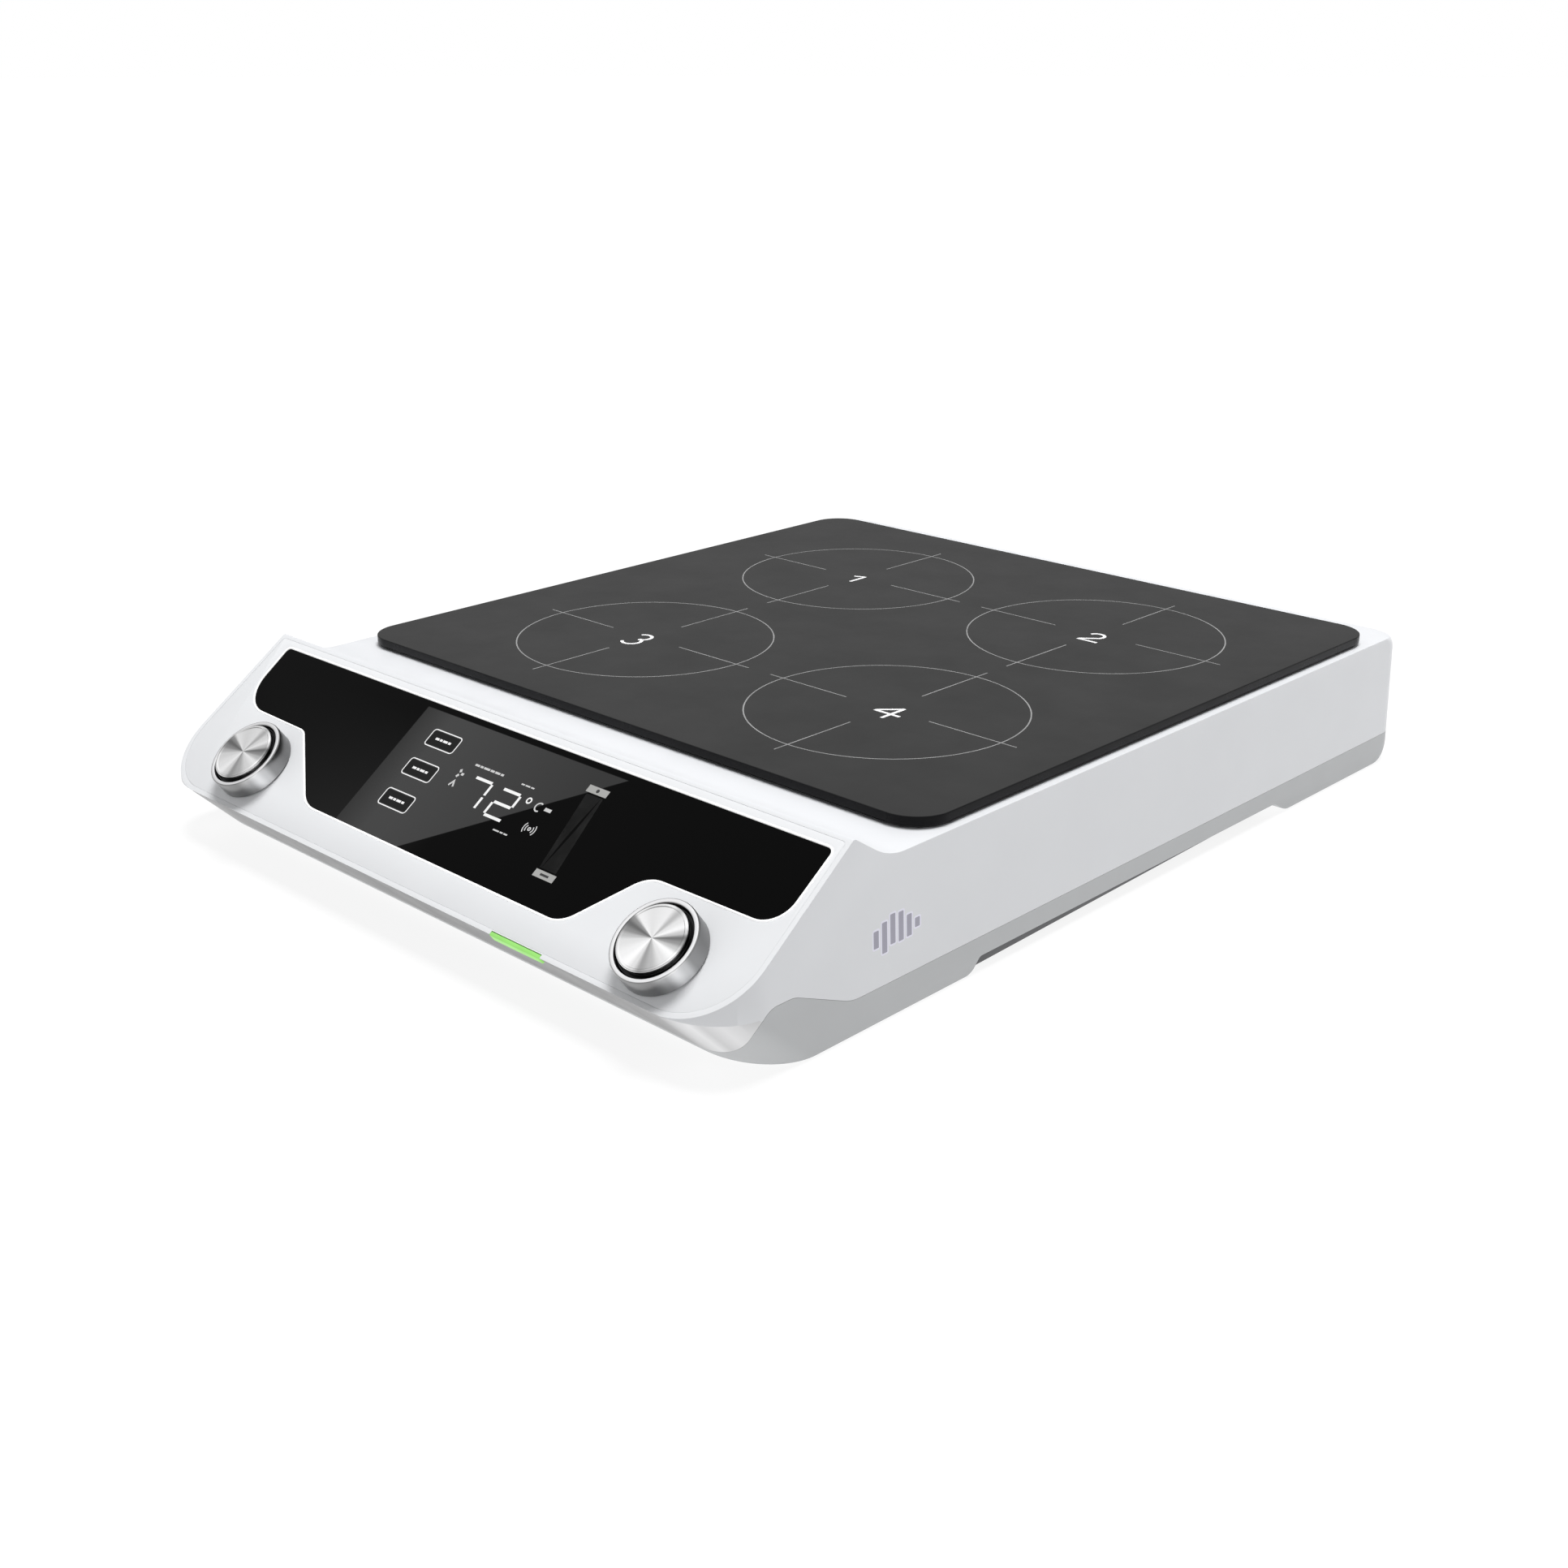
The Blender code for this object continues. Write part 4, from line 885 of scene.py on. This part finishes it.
def make_glass():
    outline = rectangle((PLATE_LOW.x, PLATE_HIGH.x), (PLATE_LOW.y, PLATE_HIGH.y), PLATE_CORNER)
    glass = place_mesh("top_glass", prism(outline, PLATE_LOW.z, PLATE_HIGH.z, 20))
    bevel(glass, 0.5, 4)
    finish_piece(glass, TOP_GLASS, ["glass_plate"])
    # The edge faces get the darker glass: painted shade.
    paint_faces(glass, GLASS_EDGE_SHADE, lambda face: face.normal.z < 0.6)

    marks = bmesh.new()
    top = PLATE_HIGH.z - 0.01
    for centre in PLACES.values():
        ring = circle((centre.x, centre.y), MARK_RADIUS, 144)
        strip(marks, ring, MARK_WIDTH, True, top)
        for degrees in range(0, 360, 90):
            ray = [centre.xy + heading(degrees) * MARK_RADIUS * reach for reach in (0.38, 1.13)]
            strip(marks, ray, MARK_WIDTH, low=top + 0.01)
    add_mark("place_marks", marks, INK, Matrix.Identity(4))

    for number, centre in PLACES.items():
        shape = bmesh.new()
        for layer, stroke in enumerate(NUMERALS[number]):
            points = [(centre.x + x, centre.y + y) for x, y in stroke]
            strip(shape, points, NUMERAL_WIDTH, low=top + 0.004 * layer)
        add_mark(f"numeral_{number}", shape, NUMERAL_INK, Matrix.Identity(4))


# ---- console

KEY_CENTRES = ((-31.5, -20.0), (-31.3, -34.4), (-30.7, -49.2))
KEY_SIZE = (17.2, 7.6)
KEY_MARGIN = 0.6
KEY_DASHES = (2.2, 1.5, 2.6, 1.5)
SEGMENT = {"width": 10.4, "tall": 12.0, "stroke": 1.2, "gap": 0.5}
SEVEN = (-2.9, -28.6)
TWO = (13.6, -28.8)
DEGREE = (29.0, -29.4)
SIGNAL = (38.5, -39.4)
FAN_SIGN = (-11.2, -29.6)
ARROW = ((-12.6, -35.6), (-11.3, -33.2), (-10.0, -35.6))
UNIT_CENTRE = (35.4, -30.4)
UNIT_BAR = ((38.5, -30.2), (42.0, -30.2))

# Rows of dashes that stand for labels: where a row starts, its dashes' lengths and their stroke.
LABELS = (
    ((-7.5, -24.0), (2.6, 1.6, 3.4, 2.2, 2.8, 1.6), 0.9),
    ((20.0, -24.4), (1.8, 2.6, 1.8), 0.6),
    ((23.2, -44.8), (3.4, 1.6, 2.0), 0.6),
)


def make_console():
    outline = fascia_outline(FASCIA_INSET)
    panel = place_mesh("console_panel", prism(outline, -FASCIA_THICK, 0.0, 24), CONSOLE)
    bevel(panel, 0.12, 2)
    boolean(panel, prism(offset_outline(WINDOW, RIM_WIDTH + 0.1), -10.0, 10.0), matrix=CONSOLE)
    for side in ("left", "right"):
        boolean(panel, rods([(0, 0)], 5.1, -10.0, 10.0), matrix=knob_matrix(side))
    finish_piece(panel, PANEL, ["front_fascia"])

    rim = place_mesh("window_rim", prism(offset_outline(WINDOW, RIM_WIDTH), -2.0, 0.3), CONSOLE)
    boolean(rim, prism(offset_outline(WINDOW, 0.1), -10.0, 10.0), matrix=CONSOLE)
    bevel(rim, 0.3, 4)
    # The trim's slight glow is painted light.
    finish_piece(rim, RIM_PAINTED_GLOW, ["window_trim"])

    pane = place_mesh("window_pane", prism(WINDOW, -1.9, PANE_Z), CONSOLE)
    finish_piece(pane, WINDOW_GLASS, ["display_window"])

    low = (LIGHT_LOW.x, -SLOPE_LENGTH - 0.3, -3.4)
    high = (LIGHT_HIGH.x, -SLOPE_LENGTH + 1.2, 0.2)
    bar = place_mesh("light_bar", boxes([(low, high)]), CONSOLE)
    bevel(bar, 0.45, 4)
    finish_piece(bar, GREEN, ["status_light"])


def bar_across(x, y, length):
    return [(x - length / 2, y), (x + length / 2, y)]


def seven_segments(shape, corner, lit_bars):
    """One numeral of a seven-segment display, by its upper left corner."""
    x, y = corner
    gap = SEGMENT["gap"]
    right, foot, middle = x + SEGMENT["width"], y - SEGMENT["tall"], y - SEGMENT["tall"] / 2
    bars = {
        "top": ((x + gap, y), (right - gap, y)),
        "upper_right": ((right, y - gap), (right, middle + gap)),
        "lower_right": ((right, middle - gap), (right, foot + gap)),
        "bottom": ((x + gap, foot), (right - gap, foot)),
        "lower_left": ((x, middle - gap), (x, foot + gap)),
        "middle": ((x + gap, middle), (right - gap, middle)),
    }
    for name in lit_bars:
        strip(shape, bars[name], SEGMENT["stroke"])


def dashes(shape, start, lengths, width, gap=0.5):
    """A short row of dashes that stands for a label."""
    x, y = start
    for length in lengths:
        strip(shape, [(x, y), (x + length, y)], width)
        x += length + gap


def make_display():
    keys, fills = bmesh.new(), bmesh.new()
    width, tall = KEY_SIZE
    for x, y in KEY_CENTRES:
        strip(keys, round_corners(around(x, y, width / 2, tall / 2, 1.4), 5), 0.45, closed=True)
        dashes(keys, (x - 4.7, y), KEY_DASHES, 1.0)
        across = bar_across(x, y, width - 2 * KEY_MARGIN)
        strip(fills, across, tall - 2 * KEY_MARGIN, height=INK_HEIGHT / 2)
    add_mark("touch_key_fills", fills, KEY_FILL)
    add_mark("touch_key_marks", keys, DISPLAY)

    digits = bmesh.new()
    seven_segments(digits, SEVEN, ("top", "upper_right", "lower_right"))
    seven_segments(digits, TWO, ("top", "upper_right", "middle", "lower_left", "bottom"))
    strip(digits, circle(DEGREE, 1.1, 16), 0.6, closed=True)
    add_mark("display_numerals", digits, DISPLAY)

    small = bmesh.new()
    for start, lengths, width in LABELS:
        dashes(small, start, lengths, width)
    for degrees in range(0, 360, 120):
        strip(small, [Vector(FAN_SIGN) + heading(degrees) * reach for reach in (0.6, 2.0)], 1.1)
    strip(small, ARROW, 0.8)
    strip(small, arc(UNIT_CENTRE, 1.8, 60.0, 300.0, 10), 0.6)
    strip(small, UNIT_BAR, 1.4)
    strip(small, circle(SIGNAL, 0.6, 8), 0.5, closed=True)
    for radius in (1.9, 3.1):
        for middle in (0.0, 180.0):
            strip(small, arc(SIGNAL, radius, middle - 40.0, middle + 40.0, 8), 0.45)
    add_mark("display_icons", small, DISPLAY_SOFT)


SLIDER_TOP = (54.9, -16.4)
SLIDER_BOTTOM = (59.7, -53.1)
PAD_SIZE = (10.6, 3.0)
BAND_STEPS = 24


def make_slider():
    """Touch slider: two pads and, between them, a twisted band under the glass."""
    for name, (x, y) in (("upper", SLIDER_TOP), ("lower", SLIDER_BOTTOM)):
        pad = bmesh.new()
        strip(pad, bar_across(x, y, PAD_SIZE[0]), PAD_SIZE[1])
        add_mark(f"slider_{name}_pad", pad, DISPLAY_DIM)
        sign = bmesh.new()
        if name == "upper":
            strip(sign, circle((x, y), 0.4, 12), 0.8, closed=True, low=PANE_Z + 0.01)
        else:
            strip(sign, bar_across(x, y, 4.4), 0.9, low=PANE_Z + 0.01)
        add_mark(f"slider_{name}_mark", sign, GLOSS_BLACK)
    top, bottom = Vector(SLIDER_TOP), Vector(SLIDER_BOTTOM)
    shape = bmesh.new()
    for edge in (-1, 1):
        rows = []
        for step in range(BAND_STEPS + 1):
            t = step / BAND_STEPS
            middle = top.lerp(bottom, 0.06 + 0.88 * t)
            outer = middle + Vector((edge * 4.4, 0.0))
            turn = math.sin(math.pi * t) * 1.1
            inner = middle + Vector((3.4 * (1 - 2 * t) + edge * turn * 0.6, 0.0))
            rows.append([shape.verts.new((p.x, p.y, PANE_Z + 0.015)) for p in (outer, inner)])
        for one, two in zip(rows, rows[1:]):
            shape.faces.new((one[0], one[1], two[1], two[0]))
    bmesh.ops.solidify(shape, geom=shape.faces[:], thickness=0.01)
    add_mark("slider_band", shape, BAND)


# ---- knobs


def knob_matrix(side):
    """The knob's axis: its origin on the sloped face, x to the right and z outwards."""
    place = Vector(JOINTS[f"{side}_knob_turn"]["pos_m"])
    return Matrix.Translation(place) @ Matrix.Rotation(SLOPE, 4, "X")


def make_knobs():
    ring = [
        (CORE_RADIUS + 0.3, KNOB_HEIGHT - 0.4),
        *arc((CORE_RADIUS + 0.7, KNOB_HEIGHT - 0.4), 0.4, 180, 90, 4),
        *arc((KNOB_RADIUS - 0.7, KNOB_HEIGHT - 0.7), 0.7, 90, 0, 6),
        *arc((KNOB_RADIUS - 0.3, 0.8), 0.3, 0, -90, 3),
        (CAP_RADIUS - 0.4, 0.5),
        (CAP_RADIUS - 0.4, 1.6),
        (CORE_RADIUS + 0.3, 1.6),
    ]
    lip = CAP_RADIUS + 0.4
    core = [
        *arc((lip + 0.3, 6.9), 0.25, 180, 0, 4),
        (CORE_RADIUS + 0.2, 1.9),
        (3.4, 1.9),
        (3.4, 5.9),
        (lip, 5.9),
    ]
    cap = [
        (0, CAP_TOP - 0.35),
        (1.0, CAP_TOP - 0.35),
        (CAP_RADIUS - 1.3, CAP_TOP - 0.22),
        (CAP_RADIUS - 1.0, CAP_TOP),
        *arc((CAP_RADIUS - 0.5, CAP_TOP - 0.5), 0.5, 90, 0, 5),
        (CAP_RADIUS, 7.5),
        (0, 7.5),
    ]
    for side in ("left", "right"):
        matrix = knob_matrix(side)
        made = place_mesh(f"{side}_rim", turned(ring, 128), matrix)
        finish_piece(made, BRIGHT, [f"{side}_knob_ring"], f"{side}_knob")
        # The skirt faces get painted highlights and shade in place of reflections.
        paint_faces(made, SKIRT_PAINTED, lambda face: face.normal.z < 0.8)
        made = place_mesh(f"{side}_inner_ring", turned(core, 96), matrix)
        finish_piece(made, BLACK, [f"{side}_knob_core"], f"{side}_knob")
        # The cap's light and dark sectors are painted reflections.
        made = place_mesh(f"{side}_cap", turned(cap, 128), matrix)
        finish_piece(made, SPUN_CAP_PAINTED, [f"{side}_knob_cap"], f"{side}_push")


# ---- sound slots


def make_sound_bars():
    """The sounder's bars in the side wall, each in a pale rim, a painted highlight along its edge, that leans with
    the wall.
    """
    low, high = box_mm("sound_insert")
    plate = rectangle((low.y, high.y), (low.z, high.z), 2.0)
    insert = place_mesh("sound_plate", prism(plate, low.x, 162.6, 6), ALONG_X)
    finish_piece(insert, BARS, ["sound_insert"])
    draft = (HALF_WIDTH_HIGH - HALF_WIDTH_LOW) / (BODY_TOP_Z - BOTTOM_Z)
    middle = (low.z + high.z) / 2
    wall = HALF_WIDTH_LOW + draft * (middle - BOTTOM_Z)
    lean = Matrix.Identity(4)
    lean[2][1] = draft
    lean[2][3] = -draft * middle
    for name, margin, outer, look in (("rims", 0.7, 0.02, RIM_PAINTED_HIGHLIGHT), ("bars", 0.0, 0.05, BARS)):
        shape = bmesh.new()
        for y, z_low, z_high in SOUND_SLOTS:
            half = SOUND_BAR_WIDTH / 2 + margin
            bar = rectangle((y - half, y + half), (z_low - margin, z_high + margin), 0.3 + margin)
            mesh = prism(bar, wall - 1.5, wall + outer, 5)
            shape.from_mesh(mesh)
            bpy.data.meshes.remove(mesh)
        shape.transform(lean)
        add_mark(f"sound_{name}", shape, look, ALONG_X)


# ---- rear fittings

# The inlet's socket, and the middles of its three pins, about the inlet's centre: x, z and radius.
SOCKET_RISE = 6.0
SOCKET = ((-12, -4.5, 1.5), (12, -4.5, 1.5), (12, 6, 1.0), (8, 11, 1.0), (-8, 11, 1.0), (-12, 6, 1.0))
PINS = ((-7, 7.5), (7, 7.5), (0, 11.5))
PIN_SIZE = (2.0, 11.6, 4.0)
ROCKER = ((-2.5, -8.6, 0.5), (2.9, -8.8, 0.8), (1.9, 0.0, 9.0), (2.9, 8.8, 0.8), (-2.5, 8.6, 0.5))
ROCKER_REST = math.radians(-8.0)
ROCKER_MARK_Z = 2.36


def rear_fitting(node, name, depth):
    """A flanged fitting in the rear wall: the piece, its centre's x and z, and the y of its face."""
    low, high = box_mm(node)
    centre = (low + high) / 2
    flange = prism(rear_outline(low, high, 0.0, 2.0), -high.y, FLANGE_THICK - high.y, 6)
    made = place_mesh(name, flange, ALONG_REAR)
    bevel(made, 0.4, 3)
    cut_rear(made, rear_outline(low, high, -2.0, 1.0), high.y, -1.0, depth, 4, "UNION")
    return made, centre.x, centre.z, high.y


def make_inlet():
    inlet, x, z, face = rear_fitting("power_inlet", "inlet_socket", 27.0)
    socket = [(x + a, z + SOCKET_RISE + b, radius) for a, b, radius in SOCKET]
    cut_rear(inlet, socket, face, 1.0, 17.0, 5)
    cut_rear(inlet, rectangle((x - 10.2, x + 10.2), (z - 16.2, z - 3.8), 0.6), face, 2.0, 22.0, 3)
    finish_piece(inlet, BLACK, ["power_inlet"])
    for number, (a, b) in enumerate(PINS, 1):
        pin = place_mesh(f"inlet_pin_{number}", boxes([block((x + a, face - 11.3, z + b), PIN_SIZE)]))
        bevel(pin, 0.5, 3)
        finish_piece(pin, BRASS)
    drawer = place_mesh("drawer_body", boxes([box_mm("fuse_drawer")]))
    bevel(drawer, 0.5, 3)
    cut_rear(drawer, around(x, z - 10.0, 4.0, 2.0, 1.0), face, 1.0, 1.2, 4)
    boolean(drawer, boxes([((x - 7.5, face - 17, z - 13), (x + 7.5, face - 3, z + 2))]))
    finish_piece(drawer, BLACK, ["fuse_drawer"], "fuse_carrier")


def make_switch():
    body, x, z, face = rear_fitting("switch_body", "rocker_frame", 20.0)
    cut_rear(body, around(x, z, 5.6, 9.6, 0.8), face, 1.0, 9.5, 4)
    finish_piece(body, BLACK, ["switch_body"])
    axis = Vector(JOINTS["power_rock"]["pos_m"])
    matrix = Matrix.Translation(axis) @ Matrix.Rotation(ROCKER_REST, 4, "X")
    rocker = place_mesh("rocker_key", prism(ROCKER, -5.2, 5.2, 8), matrix @ ALONG_X)
    bevel(rocker, 0.3, 2)
    finish_piece(rocker, GLOSS_BLACK, ["power_rocker"], "rocker")
    marks = bmesh.new()
    for points, closed in ((circle((0.0, 5.0), 1.5, 24), True), ([(0.0, -3.4), (0.0, -6.4)], False)):
        strip(marks, points, 0.5, closed, ROCKER_MARK_Z, 0.12)
    face_turn = matrix @ Matrix.Rotation(-math.pi / 2, 4, "X")
    add_mark("rocker_marks", marks, NUMERAL_INK, face_turn, "rocker")


# ---- inner pieces

INNER = {
    "aluminium": surface("inner_aluminium", (0.7, 0.71, 0.72), 0.35, 1.0, drift=0.04),
    "steel": surface("inner_steel", (0.5, 0.51, 0.53), 0.35, 1.0, drift=0.06),
    "dark_steel": surface("inner_dark_steel", (0.09, 0.09, 0.1), 0.5, 0.6, drift=0.12),
    "magnet_nickel": surface("nickel", (0.62, 0.6, 0.56), 0.2, 1.0, drift=0.04),
    "mica_heater": surface("mica", (0.3, 0.19, 0.09), 0.6, drift=0.25, drift_scale=70.0),
    "ceramic_fibre": surface("fibre", (0.78, 0.76, 0.7), 0.9, drift=0.08, grain=0.8, grain_scale=500.0),
    "circuit_board": surface("board", (0.01, 0.12, 0.035), 0.4, drift=0.2, drift_scale=120.0),
    "brass": BRASS,
    "black_plastic": BLACK,
    "black_rubber": RUBBER,
}


def paint_inner_pieces():
    """The solids that stay as they are get a material of their slot."""
    slots = {part["node"]: part["material_slot"] for part in frame["record"]["subparts"]}
    for name, node in frame["nodes"].items():
        material = INNER.get(slots[name])
        if node.hide_render or material is None:
            continue
        node.data.materials.clear()
        node.data.materials.append(material)


# ---- studio

# Each light's place and size in metres, and its power in watts.
LIGHTS = (
    ("key", (0.0, 0.5, 4.7), (2.0, 2.0), 212.0),
    ("rim", (0.6, 2.6, 0.35), (1.2, 0.6), 14.0),
)
FLOOR_RADIUS = 20000.0
LIT_WHITE = (1.0, 1.0, 1.0, 1.0)


def make_floor():
    """A pale floor that glows a little more the further away it is, so that it has no horizon."""
    floor = place_mesh("floor", rods([(0, 0)], FLOOR_RADIUS, -1.0, 0.0, 96))
    pale = surface("pale_floor", (0.17, 0.17, 0.17), 0.8, drift=0.003, specular=0.0)
    tree = pale.node_tree
    place = add_node(tree, "TexCoord").outputs["Object"]
    away = operate(tree, "VectorMath", "LENGTH", place)["Value"]
    glow = spread(tree, away, 0.86, 1.0, 0.5, 2.5)
    set_inputs(tree, tree.nodes["Principled BSDF"], Emission_Color=LIT_WHITE, Emission_Strength=glow)
    floor.data.materials.append(pale)


def make_lights():
    for name, place, size, power in LIGHTS:
        data = bpy.data.lights.new(name, "AREA")
        data.shape = "RECTANGLE"
        data.size, data.size_y = size
        data.energy = power
        lamp = add_object(name, data)
        lamp.location = place
        lamp.rotation_euler = (-Vector(place)).to_track_quat("-Z", "Y").to_euler()
        lamp.visible_glossy = False


def make_world():
    """Soft surrounding light, darker in reflections near the horizon, and white to the camera."""
    world = bpy.data.worlds.new("studio")
    world.use_nodes = True
    bpy.context.scene.world = world
    tree = world.node_tree
    tree.nodes.clear()
    path = add_node(tree, "LightPath").outputs
    soft = add_node(tree, "Background", Color=(0.985, 0.99, 1.0, 1.0), Strength=0.33)
    height = split(tree, add_node(tree, "TexCoord").outputs["Generated"])[2]
    shine = add_node(tree, "Background", Strength=spread(tree, height, 0.3, 1.5, 0.15, 0.8))
    seen = add_node(tree, "Background", Color=LIT_WHITE)
    mixed = soft.outputs[0]
    for ray, light in (("Is Glossy Ray", shine), ("Is Camera Ray", seen)):
        mix = add_node(tree, "MixShader")
        for socket, value in zip(mix.inputs, (path[ray], mixed, light.outputs[0])):
            tree.links.new(value, socket)
        mixed = mix.outputs[0]
    add_node(tree, "OutputWorld", Surface=mixed)


def make_camera():
    data = bpy.data.cameras.new("camera")
    data.lens = CAMERA_LENS
    data.sensor_width = 36.0
    data.clip_start = 0.01
    data.clip_end = 100.0
    camera = add_object("camera", data)
    level = math.cos(CAMERA_ELEVATION)
    side, depth = math.sin(CAMERA_AZIMUTH) * level, -math.cos(CAMERA_AZIMUTH) * level
    back = Vector((side, depth, math.sin(CAMERA_ELEVATION)))
    camera.location = CAMERA_TARGET + back * CAMERA_DISTANCE
    camera.rotation_euler = back.to_track_quat("Z", "Y").to_euler()
    bpy.context.scene.camera = camera
    bpy.context.scene.view_settings.view_transform = "Standard"


make_camera()
make_floor()
make_lights()
make_world()
make_housing()
make_base()
make_cover()
make_feet()
make_screws()
make_glass()
make_console()
make_display()
make_slider()
make_knobs()
make_sound_bars()
make_inlet()
make_switch()
paint_inner_pieces()

bpy.context.view_layer.update()
